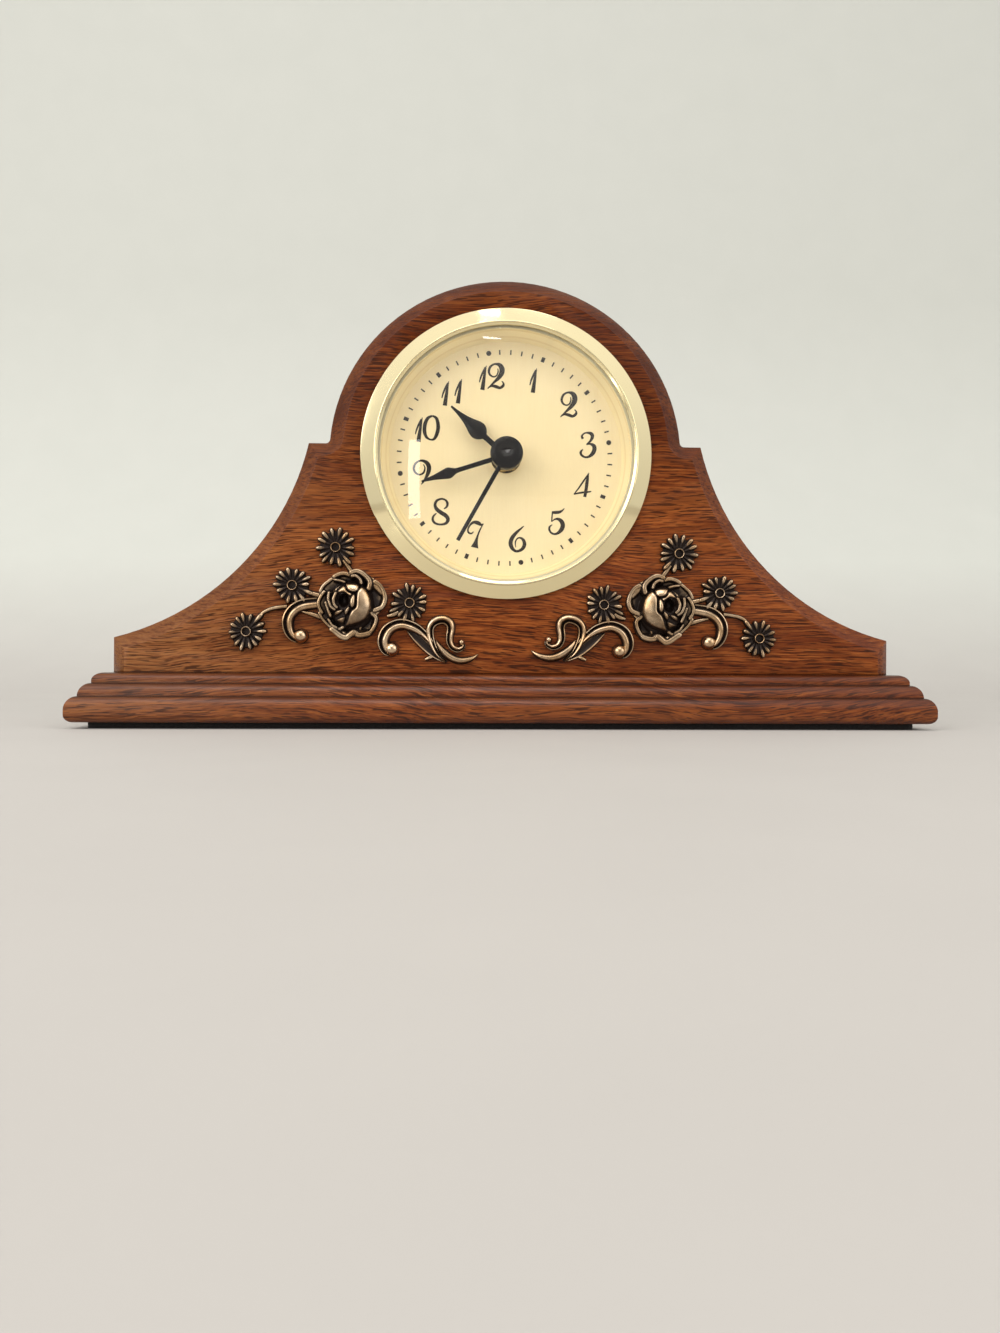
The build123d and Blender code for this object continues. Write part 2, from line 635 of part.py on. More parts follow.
def driver_chip():
    """The moulded chip on the board."""
    place = (BOARD_AT[0] - BOARD_WIDTH / 2 + 1.5 * CHIP_RADIUS, BOARD_AT[1] - CHIP_RADIUS)
    return rod(place, CHIP_RADIUS, BOARD_BACK, BOARD_BACK + CHIP_THICKNESS)


def quartz_can():
    """The crystal's metal can lying on the board, with its foot."""
    across = BOARD_AT[0] + BOARD_WIDTH / 2 - 2 * CAN_RADIUS
    middle = BOARD_BACK + CAN_RADIUS + STACK_GAP
    can = Pos(across, middle, BOARD_AT[1]) * Cylinder(CAN_RADIUS, CAN_LENGTH)
    foot_at = Pos(across, BOARD_AT[1] + CAN_LENGTH / 2)
    return can + slab(foot_at * Rectangle(1.2 * CAN_RADIUS, CAN_RADIUS), BOARD_BACK, middle)


def stator():
    """The magnetic plate around the rotor, with a window for the coil."""
    left = COIL_X - CORE_WIDTH / 2
    right = ROTOR_AT[0] + STATOR_MARGIN
    plate = Pos((left + right) / 2, ROTOR_AT[1]) * Rectangle(right - left, 2 * (COIL_HALF + CORE_OVERLAP))
    window = Rectangle(2 * COIL_RADIUS + BOBBIN_FLANGE, 2 * COIL_HALF + BOBBIN_FLANGE)
    plate = plate - Pos(COIL_X, ROTOR_AT[1]) * window - Pos(*ROTOR_AT) * Circle(STATOR_BORE)
    return slab(plate, STATOR_LEVEL, STATOR_BACK)


def coil_core():
    """The iron bar through the coil, lying on the stator's ends."""
    bar = Pos(COIL_X, ROTOR_AT[1]) * Rectangle(CORE_WIDTH, 2 * (COIL_HALF + CORE_OVERLAP))
    return slab(bar, STATOR_BACK, STATOR_BACK + STATOR_THICKNESS)


def core_sleeve(wall, low, high):
    """A square bar around the core, as thick as the core and a wall on each side."""
    half_width = CORE_WIDTH / 2 + wall
    half_depth = STATOR_THICKNESS / 2 + wall
    return block((COIL_X - half_width, COIL_X + half_width),
                 (COIL_DEPTH - half_depth, COIL_DEPTH + half_depth), (low, high))


def coil_bobbin():
    """The bobbin: a square sleeve between two flanges."""
    bobbin = core_sleeve(BOBBIN_WALL, COIL_LOW, COIL_HIGH)
    for start in (COIL_LOW, COIL_HIGH - BOBBIN_FLANGE):
        bobbin += block((COIL_X - COIL_RADIUS, COIL_X + COIL_RADIUS),
                        (COIL_DEPTH - COIL_RADIUS, COIL_DEPTH + COIL_RADIUS), (start, start + BOBBIN_FLANGE))
    return bobbin - core_sleeve(0, COIL_LOW, COIL_HIGH)


def coil_winding():
    """The copper winding between the bobbin's flanges."""
    low, high = COIL_LOW + BOBBIN_FLANGE, COIL_HIGH - BOBBIN_FLANGE
    winding = Pos(COIL_X, COIL_DEPTH, (low + high) / 2) * Cylinder(COIL_RADIUS - STACK_GAP, high - low)
    return winding - core_sleeve(BOBBIN_WALL, low, high)


def cell():
    """The small round cell lying across the bay, with its positive nub to the right."""
    can_length = CELL_LENGTH - CELL_NUB
    can = Pos(-CELL_NUB / 2, 0, 0) * Rot(0, 90, 0) * Cylinder(CELL_RADIUS, can_length)
    nub = Pos(can_length / 2, 0, 0) * Rot(0, 90, 0) * Cylinder(NUB_RADIUS, CELL_NUB)
    return Pos(0, CELL_DEPTH, BAY_Z) * (can + nub)


def contact_plate(outer, inner):
    """The upright plate of a contact against one end of the bay."""
    return block((min(outer, inner), max(outer, inner)), (BAY_FLOOR, COVER_INNER),
                 (BAY_Z - CONTACT_HALF_WIDTH, BAY_Z + CONTACT_HALF_WIDTH))


def contact_plus():
    """The contact at the cell's nub: a back plate with a pressed pad."""
    pad = block((CELL_LENGTH / 2, BAY_HALF_LENGTH), (CELL_DEPTH - NUB_RADIUS, CELL_DEPTH + NUB_RADIUS),
                (BAY_Z - NUB_RADIUS, BAY_Z + NUB_RADIUS))
    return pad + contact_plate(BAY_HALF_LENGTH, BAY_HALF_LENGTH - CONTACT_THICKNESS)


def contact_minus():
    """The sprung contact at the cell's flat end: a back plate and a folded leaf."""
    start = -CELL_LENGTH / 2
    end = -BAY_HALF_LENGTH
    width = (BAY_Z - LEAF_HALF_WIDTH, BAY_Z + LEAF_HALF_WIDTH)
    leaf = block((start - CONTACT_THICKNESS, start), (BAY_FLOOR, CELL_DEPTH + CELL_RADIUS / 2), width)
    fold = block((end, start), (BAY_FLOOR, BAY_FLOOR + CONTACT_THICKNESS), width)
    return contact_plate(end, end + CONTACT_THICKNESS) + leaf + fold


def arbor(place):
    """A plain arbor between the front plate and the cover."""
    return rod(place, ARBOR_RADIUS, ARBOR_FRONT + PIVOT_SHAKE, ARBOR_BACK - PIVOT_SHAKE)


def rotor_pinion():
    """The rotor's arbor with its pinion."""
    angle = ROTOR_ANGLE + 180 + 180 / ROTOR_PINION
    teeth = toothed(ROTOR_AT, ROTOR_PINION, MODULE, angle, INTERMEDIATE_LEVEL)
    return arbor(ROTOR_AT) + teeth


def rotor_magnet():
    """The round magnet on the rotor's arbor, inside the stator's hole."""
    middle = STATOR_LEVEL + STATOR_THICKNESS / 2
    ring = Pos(*ROTOR_AT) * (Circle(MAGNET_RADIUS) - Circle(ARBOR_RADIUS + SNUG))
    return slab(ring, middle - MAGNET_LENGTH / 2, middle + MAGNET_LENGTH / 2)


def intermediate_wheel():
    """The wheel between the rotor and the seconds wheel."""
    wheel = toothed(INTERMEDIATE_AT, INTERMEDIATE_WHEEL, MODULE, ROTOR_ANGLE, INTERMEDIATE_LEVEL)
    turn = INTERMEDIATE_ANGLE + 180 + 180 / INTERMEDIATE_PINION
    pinion = toothed(INTERMEDIATE_AT, INTERMEDIATE_PINION, MODULE, turn, SECONDS_LEVEL)
    return arbor(INTERMEDIATE_AT) + wheel + pinion


def third_wheel():
    """The wheel between the seconds pinion and the centre wheel."""
    turn = THIRD_ANGLE + 180
    wheel = toothed(THIRD_AT, THIRD_WHEEL, MODULE, turn + 180 / THIRD_WHEEL, THIRD_LEVEL)
    pinion = toothed(THIRD_AT, THIRD_PINION, CENTRE_MODULE, turn, CENTRE_LEVEL)
    return arbor(THIRD_AT) + wheel + pinion


def seconds_wheel():
    """The seconds wheel, its pinion and the long thin arbor that carries the second hand."""
    wheel = toothed(CENTRE_AT, SECONDS_WHEEL, MODULE, INTERMEDIATE_ANGLE, SECONDS_LEVEL)
    pinion = toothed(CENTRE_AT, SECONDS_PINION, MODULE, THIRD_ANGLE, THIRD_LEVEL)
    stem = rod(CENTRE_AT, SECOND_ARBOR_RADIUS, SECOND_HAND_BACK - HAND_THICKNESS, SECONDS_LEVEL)
    tail = rod(CENTRE_AT, ARBOR_RADIUS, SECONDS_LEVEL, ARBOR_BACK - PIVOT_SHAKE)
    return wheel + pinion + stem + tail


def centre_wheel():
    """The centre wheel with its cannon pinion and the pipe that carries the minute hand."""
    turn = THIRD_ANGLE + 180 / CENTRE_WHEEL
    wheel = toothed(CENTRE_AT, CENTRE_WHEEL, CENTRE_MODULE, turn, CENTRE_LEVEL)
    pinion = toothed(CENTRE_AT, CANNON_PINION, MODULE, MINUTE_WHEEL_ANGLE, MOTION_LEVEL)
    front = MINUTE_HAND_BACK - HAND_THICKNESS
    pipe = rod(CENTRE_AT, MINUTE_PIPE_RADIUS, front, CENTRE_LEVEL)
    bore = rod(CENTRE_AT, SECOND_ARBOR_RADIUS + RUN, front, CENTRE_LEVEL + WHEEL_THICKNESS)
    return wheel + pinion + pipe - bore


def minute_wheel():
    """The motion-work wheel on the plate's stud, with the pinion that drives the hour wheel."""
    turn = MINUTE_WHEEL_ANGLE + 180
    wheel = toothed(MINUTE_AT, MINUTE_WHEEL, MODULE, turn + 180 / MINUTE_WHEEL, MOTION_LEVEL)
    pinion = toothed(MINUTE_AT, MINUTE_PINION, HOUR_MODULE, turn + 180 / MINUTE_PINION, HOUR_LEVEL, LEVEL)
    bore = rod(MINUTE_AT, ARBOR_RADIUS + RUN, HOUR_LEVEL, MOTION_LEVEL + WHEEL_THICKNESS)
    return wheel + pinion - bore


def hour_wheel():
    """The hour wheel and its pipe through the bush."""
    wheel = toothed(CENTRE_AT, HOUR_WHEEL, HOUR_MODULE, MINUTE_WHEEL_ANGLE, HOUR_LEVEL)
    front = HOUR_HAND_BACK - HAND_THICKNESS
    pipe = rod(CENTRE_AT, HOUR_PIPE_RADIUS, front, HOUR_LEVEL)
    return wheel + pipe - rod(CENTRE_AT, MINUTE_PIPE_RADIUS + RUN, front, HOUR_LEVEL + WHEEL_THICKNESS)


def setting_arbor():
    """The arbor that turns the hands from the back, with its pinion in the minute wheel."""
    pinion = toothed(SETTING_AT, SETTING_PINION, MODULE, MINUTE_WHEEL_ANGLE + 180, MOTION_LEVEL)
    front = rod(SETTING_AT, ARBOR_RADIUS, ARBOR_FRONT + PIVOT_SHAKE, MOTION_LEVEL)
    shaft_end = COVER_BACK + KNOB_GAP + KNOB_SOCKET
    return pinion + front + rod(SETTING_AT, SETTING_RADIUS, MOTION_LEVEL, shaft_end)


def setting_knob():
    """The fluted knob on the back."""
    front = COVER_BACK + KNOB_GAP
    back = front + KNOB_THICKNESS
    knob = rod(SETTING_AT, KNOB_RADIUS, front, back)
    for flute in range(KNOB_FLUTES):
        place = polar(360.0 * flute / KNOB_FLUTES, KNOB_RADIUS + FLUTE_RADIUS / 2, SETTING_AT)
        knob -= rod(place, FLUTE_RADIUS, front, back)
    return knob - rod(SETTING_AT, SETTING_RADIUS + SNUG, front, front + KNOB_SOCKET)


def hand(outline, hub_radius, hole_radius, angle, back):
    """A flat hand: a half outline mirrored about its length, a hub disc and a hole, turned to its angle."""
    other = [(-x, z) for x, z in outline[::-1]]
    blade = make_face([
        Spline(*outline),
        Line(outline[-1], other[0]),
        Spline(*other),
        Line(other[-1], outline[0]),
    ])
    face = blade + Circle(hub_radius) - Circle(hole_radius)
    return Rot(0, angle + TWIST, 0) * slab(face, back - HAND_THICKNESS, back)


def hour_hand():
    """The short hand with a full teardrop."""
    reach, stem, leaf = HOUR_LENGTH, HOUR_STEM, HOUR_LEAF
    outline = [(stem, 0.05 * reach), (stem, 0.2 * reach), (stem, 0.34 * reach), (0.53 * leaf, 0.41 * reach),
               (0.89 * leaf, 0.47 * reach), (leaf, 0.53 * reach), (0.73 * leaf, 0.64 * reach),
               (0.41 * leaf, 0.77 * reach), (0.2 * leaf, 0.89 * reach), (HAND_TIP, reach)]
    return hand(outline, HOUR_PIPE_RADIUS + HUB_RIM, HOUR_PIPE_RADIUS + SNUG, HOUR_ANGLE, HOUR_HAND_BACK)


def minute_hand():
    """The long hand with a slim leaf near its tip."""
    reach, stem, leaf = MINUTE_LENGTH, MINUTE_STEM, MINUTE_LEAF
    outline = [(stem, 0.03 * reach), (stem, 0.3 * reach), (stem, 0.56 * reach), (0.68 * leaf, 0.625 * reach),
               (leaf, 0.68 * reach), (0.79 * leaf, 0.75 * reach), (0.48 * leaf, 0.84 * reach),
               (0.28 * leaf, 0.93 * reach), (HAND_TIP, reach)]
    return hand(outline, MINUTE_PIPE_RADIUS + HUB_RIM, MINUTE_PIPE_RADIUS + SNUG, MINUTE_ANGLE,
                MINUTE_HAND_BACK)


def second_hand():
    """The straight second hand with a square end."""
    reach, tip = SECOND_LENGTH, SECOND_TIP
    outline = [(1.15 * tip, 0.01 * reach), (1.08 * tip, 0.5 * reach), (tip, reach)]
    return hand(outline, SECOND_HUB_RADIUS, SECOND_ARBOR_RADIUS + SNUG, SECOND_ANGLE, SECOND_HAND_BACK)


def hub_cap():
    """The tall domed cap over the middle of the hands, standing on the second hand."""
    foot = SECOND_HAND_BACK - HAND_THICKNESS
    shape = ((0.95, 0.0), (1.0, 0.11), (0.98, 0.6), (0.86, 0.83), (0.55, 0.95), (0.0, 1.0))
    profile = [(CAP_RADIUS * across, foot - CAP_HEIGHT * up) for across, up in shape]
    return turned((0, foot), *profile)


def place_insert(shape):
    """Set a piece of the insert in the bore, at the twist in which the clock stands."""
    return Pos(0, FACE_Y, AXIS_Z) * Rot(0, -TWIST, 0) * shape


def build_nodes():
    """Every piece under its own name."""
    nodes = {
        "case_body": case_body(),
        "base_plinth": base_plinth(),
        "base_felt": base_felt(),
        "base_screw_left": base_screw(-1),
        "base_screw_right": base_screw(1),
        "floral_mount_left": floral_mount(-1),
        "floral_mount_right": floral_mount(1),
    }
    insert_pieces = (
        bezel, lens, dial_ring, dial, insert_cup, grip_ring, movement_plate, movement_cover, hand_nut,
        nut_washer, circuit_board, driver_chip, quartz_can, stator, coil_core, coil_bobbin, coil_winding,
        cell, contact_plus, contact_minus, rotor_pinion, rotor_magnet, intermediate_wheel, third_wheel,
        seconds_wheel, centre_wheel, minute_wheel, hour_wheel, setting_arbor, setting_knob, hour_hand,
        minute_hand, second_hand, hub_cap,
    )
    for piece in insert_pieces:
        nodes[piece.__name__] = place_insert(piece())
    return nodes


os.makedirs("parts", exist_ok=True)
for name, shape in build_nodes().items():
    export_step(shape, f"parts/{name}.step")
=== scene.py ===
import json
import math
import random

import bmesh
import bpy
import numpy as np
from mathutils import Matrix, Vector


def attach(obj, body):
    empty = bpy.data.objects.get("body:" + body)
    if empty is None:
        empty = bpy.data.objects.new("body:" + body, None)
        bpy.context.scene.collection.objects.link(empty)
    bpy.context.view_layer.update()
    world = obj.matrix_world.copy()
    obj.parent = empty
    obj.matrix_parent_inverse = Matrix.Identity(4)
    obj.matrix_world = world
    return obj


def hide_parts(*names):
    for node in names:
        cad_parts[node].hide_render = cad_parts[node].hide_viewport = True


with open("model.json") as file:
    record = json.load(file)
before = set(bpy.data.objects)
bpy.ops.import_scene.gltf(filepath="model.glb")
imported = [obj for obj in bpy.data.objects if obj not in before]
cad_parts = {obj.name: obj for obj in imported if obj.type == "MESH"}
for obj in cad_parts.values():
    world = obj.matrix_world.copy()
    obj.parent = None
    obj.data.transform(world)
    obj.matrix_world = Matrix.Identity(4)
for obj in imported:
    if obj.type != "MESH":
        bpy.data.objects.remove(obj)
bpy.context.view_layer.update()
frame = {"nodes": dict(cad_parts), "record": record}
scene = bpy.context.scene
scene.view_settings.view_transform = "Standard"

# Sizes in millimetres, in the frame of the CAD model
MM = 0.001
FACE_Y = -19.0
AXIS_Z = 71.7
DIAL_Y = FACE_Y + 5.2
TWIST = 9.0

# Camera: place, turn and roll found from the photograph, and its focal length as a share of the frame's height
CAMERA_AT = (-10.30, -280.53, 16.11)
CAMERA_YAW = 1.93
CAMERA_ROLL = 0.231
SENSOR = 36.0
FOCAL_SHARE = 1000.0 / 1333.0


def smoothstep(low, high, value):
    """0 below low, 1 above high and a smooth rise between."""
    share = max(0.0, min(1.0, (value - low) / (high - low)))
    return share * share * (3 - 2 * share)


def spline(points, steps, closed=False):
    """Points on a smooth curve through the given ones; every coordinate, widths too, is blended alike."""
    count = len(points)
    spans = count if closed else count - 1
    result = []
    for span in range(spans):
        if closed:
            p = [points[(span + k) % count] for k in (-1, 0, 1, 2)]
        else:
            p = [points[max(0, min(count - 1, span + k))] for k in (-1, 0, 1, 2)]
        for step in range(steps):
            t = step / steps
            result.append(tuple(
                0.5 * (2 * b + (c - a) * t + (2 * a - 5 * b + 4 * c - d) * t * t
                       + (3 * b - a - 3 * c + d) * t ** 3)
                for a, b, c, d in zip(*p)))
    if not closed:
        result.append(tuple(points[-1]))
    return result


class Shape:
    """Points and faces of one piece in millimetres, with the wear and painted light of a casting's points."""

    def __init__(self):
        self.points = []
        self.faces = []
        self.wear_and_light = []

    def loops(self, rows, wear_and_light=(), ring=False):
        """Join closed loops of points into a tube, shut at its ends unless it is a ring."""
        start = len(self.points)
        across = len(rows[0])
        for row in rows:
            self.points.extend(row)
        for marks in wear_and_light:
            self.wear_and_light.extend(marks)
        count = len(rows)
        for i in range(count if ring else count - 1):
            near = start + i * across
            far = start + (i + 1) % count * across
            for j in range(across):
                after = (j + 1) % across
                self.faces.append((near + j, near + after, far + after, far + j))
        if not ring:
            self.faces.append(tuple(start + j for j in reversed(range(across))))
            self.faces.append(tuple(start + (count - 1) * across + j for j in range(across)))

    def mesh(self, name, place=Matrix.Identity(4), sharp=40.0):
        """A Blender object of the gathered faces."""
        data = bpy.data.meshes.new(name)
        data.from_pydata([tuple(place @ Vector(p)) for p in self.points], [], self.faces)
        if self.wear_and_light:
            layer = data.attributes.new("wear_and_light", "FLOAT", "POINT")
            layer.data.foreach_set("value", self.wear_and_light)
        tidy = bmesh.new()
        tidy.from_mesh(data)
        bmesh.ops.recalc_face_normals(tidy, faces=tidy.faces)
        bmesh.ops.scale(tidy, vec=(MM, MM, MM), verts=tidy.verts)
        soften(tidy, sharp)
        tidy.to_mesh(data)
        tidy.free()
        made = bpy.data.objects.new(name, data)
        scene.collection.objects.link(made)
        return made


def soften(tidy, sharp):
    """Smooth shading, with a crease wherever two faces meet at more than an angle."""
    for face in tidy.faces:
        face.smooth = True
    for edge in tidy.edges:
        edge.smooth = len(edge.link_faces) == 2 and edge.calc_face_angle(0.0) < math.radians(sharp)


def lathe(shape, profile, turns=96, centre=(0.0, AXIS_Z)):
    """Turn a closed profile of (radius, depth) points around an axis along Y."""
    rows = []
    for step in range(turns):
        angle = 2 * math.pi * step / turns
        rows.append([(centre[0] + r * math.cos(angle), y, centre[1] + r * math.sin(angle)) for r, y in profile])
    shape.loops(rows, ring=True)


class Nodes:
    """The node tree of a material or the world, with short calls to add nodes and join them."""

    def __init__(self, owner):
        owner.use_nodes = True
        self.owner = owner
        self.tree = owner.node_tree
        self.output = next(node for node in self.tree.nodes if "Output" in node.name)
        self.shader = next(node for node in self.tree.nodes if "Output" not in node.name)
        self.coords = self.add("ShaderNodeTexCoord").outputs
        self.place = self.coords["Object"]

    def put(self, socket, value):
        if isinstance(value, bpy.types.NodeSocket):
            self.tree.links.new(value, socket)
        else:
            socket.default_value = value

    def add(self, kind, inputs=None, **settings):
        made = self.tree.nodes.new(kind)
        for key, value in settings.items():
            setattr(made, key, value)
        for key, value in (inputs or {}).items():
            self.put(made.inputs[key], value)
        return made

    def math(self, operation, *values, clamp=False):
        made = self.add("ShaderNodeMath", operation=operation, use_clamp=clamp)
        for slot, value in enumerate(values):
            self.put(made.inputs[slot], value)
        return made.outputs[0]

    def vector(self, operation, first, second, result=0):
        return self.add("ShaderNodeVectorMath", {0: first, 1: second}, operation=operation).outputs[result]

    def stretch(self, vector, scale):
        return self.vector("MULTIPLY", vector, scale)

    def split(self, vector):
        return self.add("ShaderNodeSeparateXYZ", {0: vector}).outputs

    def noise(self, vector, scale, detail=2.0, roughness=0.5):
        inputs = {"Vector": vector, "Scale": scale, "Detail": detail, "Roughness": roughness}
        return self.add("ShaderNodeTexNoise", inputs).outputs[0]

    def ramp(self, factor, *stops):
        made = self.add("ShaderNodeValToRGB", {0: factor})
        elements = made.color_ramp.elements
        while len(elements) < len(stops):
            elements.new(0.5)
        for element, (place, colour) in zip(elements, stops):
            element.position = place
            element.color = (*colour, 1.0) if isinstance(colour, tuple) else (colour, colour, colour, 1.0)
        return made.outputs[0]

    def level(self, factor, low, high, start=0.0, end=1.0, shape="LINEAR"):
        inputs = {0: factor, 1: low, 2: high, 3: start, 4: end}
        return self.add("ShaderNodeMapRange", inputs, clamp=True, interpolation_type=shape).outputs[0]

    def mix(self, factor, first, second, blend="MIX"):
        made = self.add("ShaderNodeMix", data_type="RGBA", blend_type=blend)
        for socket, value in ((made.inputs[0], factor), (made.inputs[6], first), (made.inputs[7], second)):
            self.put(socket, (*value, 1.0) if isinstance(value, tuple) else value)
        return made.outputs[2]

    def bump(self, height, distance, strength=1.0):
        inputs = {"Height": height, "Distance": distance, "Strength": strength}
        self.put(self.shader.inputs["Normal"], self.add("ShaderNodeBump", inputs).outputs[0])

    def set(self, **inputs):
        """Set the shader's own sockets; an underline in a name stands for a space."""
        for key, value in inputs.items():
            self.put(self.shader.inputs[key.replace("_", " ")], (*value, 1.0) if isinstance(value, tuple) else value)


def wood(name, shift, shine, pale, turned, shade, shadow_seams):
    """Oiled reddish-brown wood: wavy streaks and short pores along X, paler towards the left, under satin varnish.

    Pale and turned say how far it pales to the left and how far a painted shade darkens faces turned away from the
    front. The shade says along which axis a painted shade darkens it, between which two places, and how dark it is
    there. The seams are the heights of the joints and grooves, which a painted shadow darkens.
    """
    g = Nodes(bpy.data.materials.new(name))
    moved = g.vector("ADD", g.place, shift)
    bend = g.noise(g.stretch(moved, (8.0, 20.0, 13.0)), 1.0, 1.0)
    ripple = g.noise(g.stretch(moved, (60.0, 40.0, 80.0)), 1.0, 2.0)
    lift = g.math("ADD", g.math("MULTIPLY", bend, 0.036), g.math("MULTIPLY", ripple, 0.0018))
    offset = g.add("ShaderNodeCombineXYZ", {"Y": lift, "Z": lift}).outputs[0]
    grain = g.vector("ADD", moved, offset)
    bands = g.noise(g.stretch(grain, (7.0, 80.0, 110.0)), 1.0, 2.0, 0.55)
    figure = g.noise(g.stretch(grain, (20.0, 240.0, 420.0)), 1.0, 2.0, 0.5)
    streaks = g.noise(g.stretch(grain, (75.0, 800.0, 2300.0)), 1.0, 3.0, 0.72)
    pores = g.noise(g.stretch(grain, (190.0, 1000.0, 3100.0)), 1.0, 1.0, 0.5)
    colour = g.ramp(streaks, (0.33, (0.056, 0.0102, 0.0017)), (0.44, (0.174, 0.0375, 0.0066)),
                    (0.56, (0.282, 0.0735, 0.0148)), (0.68, (0.410, 0.128, 0.0300)))
    colour = g.mix(g.level(figure, 0.36, 0.48, 0.36, 0.0), colour, (0.100, 0.0180, 0.0030))
    colour = g.mix(g.level(bands, 0.34, 0.50, 0.55, 0.0), colour, (0.118, 0.0200, 0.0034))
    colour = g.mix(g.level(bands, 0.54, 0.72, 0.0, 0.45), colour, (0.320, 0.098, 0.0220))
    place = g.split(g.place)
    left = g.level(place["X"], -0.030, -0.105, 0.0, pale)
    colour = g.mix(g.math("MULTIPLY", left, g.level(streaks, 0.36, 0.58, 0.25, 1.0)), colour, (0.300, 0.140, 0.048))
    # Painted shade: the wood is darkened along one axis between two places.
    axis, start, end, low, high = shade
    colour = g.mix(g.level(place[axis], start, end, low, high), colour, (0.285, 0.205, 0.185), "MULTIPLY")
    # Painted shade: faces turned away from the front are darkened by the turned share.
    facing = g.split(g.add("ShaderNodeNewGeometry").outputs["Normal"])["Y"]
    front = g.level(g.math("ABSOLUTE", facing), 0.72, 0.96)
    colour = g.mix(g.level(front, 0.0, 1.0, turned, 0.0), colour, (0.300, 0.195, 0.165), "MULTIPLY")
    # Painted shadow: a thin dark line at each seam's height, in the joints and grooves.
    for shadow_seam in shadow_seams:
        away = g.math("ABSOLUTE", g.math("SUBTRACT", place["Z"], shadow_seam * MM))
        colour = g.mix(g.level(away, 0.0001, 0.0004, 0.7, 0.0), colour, (0.016, 0.0045, 0.0014))
    pore_depth = g.math("MULTIPLY", g.level(pores, 0.545, 0.615), g.level(front, 0.0, 1.0, 0.25, 1.0))
    colour = g.mix(g.math("MULTIPLY", pore_depth, 0.80), colour, (0.028, 0.0070, 0.0020))
    g.set(Base_Color=colour, Roughness=g.level(streaks, 0.3, 0.7, 0.34, 0.25), Coat_Weight=0.4 * shine,
          Coat_Roughness=0.14, Specular_IOR_Level=shine)
    height = g.math("SUBTRACT", g.math("MULTIPLY", streaks, 0.5), pore_depth)
    g.bump(height, 0.00003, 0.5)
    return g.owner


def metal(name, colour, shade, roughness, grain=300.0, spread=0.06, bump=0.000004):
    """Metal with a faint mottle in its colour, shine and surface."""
    g = Nodes(bpy.data.materials.new(name))
    mottle = g.noise(g.place, grain, 3.0, 0.6)
    g.set(Base_Color=g.mix(mottle, colour, shade), Metallic=1.0,
          Roughness=g.level(mottle, 0.3, 0.7, roughness - spread / 2, roughness + spread / 2))
    g.bump(g.noise(g.place, grain * 4, 2.0), bump)
    return g.owner


def moulded(name, colour, shade, roughness, grain=900.0, bump=0.00001, shine=0.5):
    """Moulded plastic or paint with a fine grained surface."""
    g = Nodes(bpy.data.materials.new(name))
    mottle = g.noise(g.place, grain, 3.0, 0.6)
    g.set(Base_Color=g.mix(mottle, colour, shade), Specular_IOR_Level=shine,
          Roughness=g.level(mottle, 0.3, 0.7, roughness - 0.05, roughness + 0.05))
    g.bump(mottle, bump)
    return g.owner


def felt():
    """Black felt: a soft mat of fibres."""
    g = Nodes(bpy.data.materials.new("felt_mat"))
    mat = g.noise(g.place, 1600.0, 4.0, 0.7)
    g.set(Base_Color=g.ramp(mat, (0.3, (0.006, 0.005, 0.005)), (0.75, (0.028, 0.025, 0.024))), Roughness=0.95,
          Sheen_Weight=0.25)
    g.bump(mat, 0.0002, 0.8)
    return g.owner


def dial_paint():
    """Champagne satin on metal, with a very fine upright brushing."""
    g = Nodes(bpy.data.materials.new("dial_champagne"))
    brushed = g.noise(g.stretch(g.place, (2600.0, 200.0, 160.0)), 1.0, 3.0, 0.6)
    cloud = g.noise(g.place, 45.0, 2.0)
    colour = g.mix(g.level(cloud, 0.35, 0.7), (0.98, 0.815, 0.475), (0.94, 0.765, 0.430))
    colour = g.mix(g.level(brushed, 0.3, 0.75, 0.0, 0.30), colour, (0.89, 0.70, 0.365))
    g.set(Base_Color=colour, Metallic=0.1, Roughness=g.level(brushed, 0.3, 0.7, 0.42, 0.56))
    g.bump(brushed, 0.000006, 0.6)
    return g.owner


def dial_gold():
    """Satin gold, turned in fine rings around the dial."""
    g = Nodes(bpy.data.materials.new("dial_gold"))
    across = g.vector("SUBTRACT", g.coords["Generated"], (0.5, 0.5, 0.5))
    flat = g.stretch(across, (1.0, 0.0, 1.0))
    reach = g.add("ShaderNodeVectorMath", {0: flat}, operation="LENGTH").outputs["Value"]
    rings = g.math("SINE", g.math("MULTIPLY", reach, 420.0))
    mottle = g.noise(g.place, 200.0, 3.0)
    colour = g.mix(mottle, (0.97, 0.87, 0.585), (0.93, 0.81, 0.51))
    colour = g.mix(g.level(rings, 0.55, 1.0, 0.0, 0.35), colour, (0.70, 0.54, 0.24))
    g.set(Base_Color=colour, Metallic=0.55, Roughness=g.level(rings, -1.0, 1.0, 0.32, 0.42))
    g.bump(rings, 0.00002, 0.5)
    return g.owner


def lens_clear():
    """Clear plastic that lets the lamps through to the dial."""
    g = Nodes(bpy.data.materials.new("lens_clear"))
    g.set(Base_Color=(1.0, 1.0, 1.0), Transmission_Weight=1.0, IOR=1.45, Roughness=0.0)
    through = g.add("ShaderNodeBsdfTransparent").outputs[0]
    shadow = g.add("ShaderNodeLightPath").outputs["Is Shadow Ray"]
    blend = g.add("ShaderNodeMixShader", {0: shadow, 1: g.shader.outputs[0], 2: through}).outputs[0]
    g.put(g.output.inputs["Surface"], blend)
    return g.owner


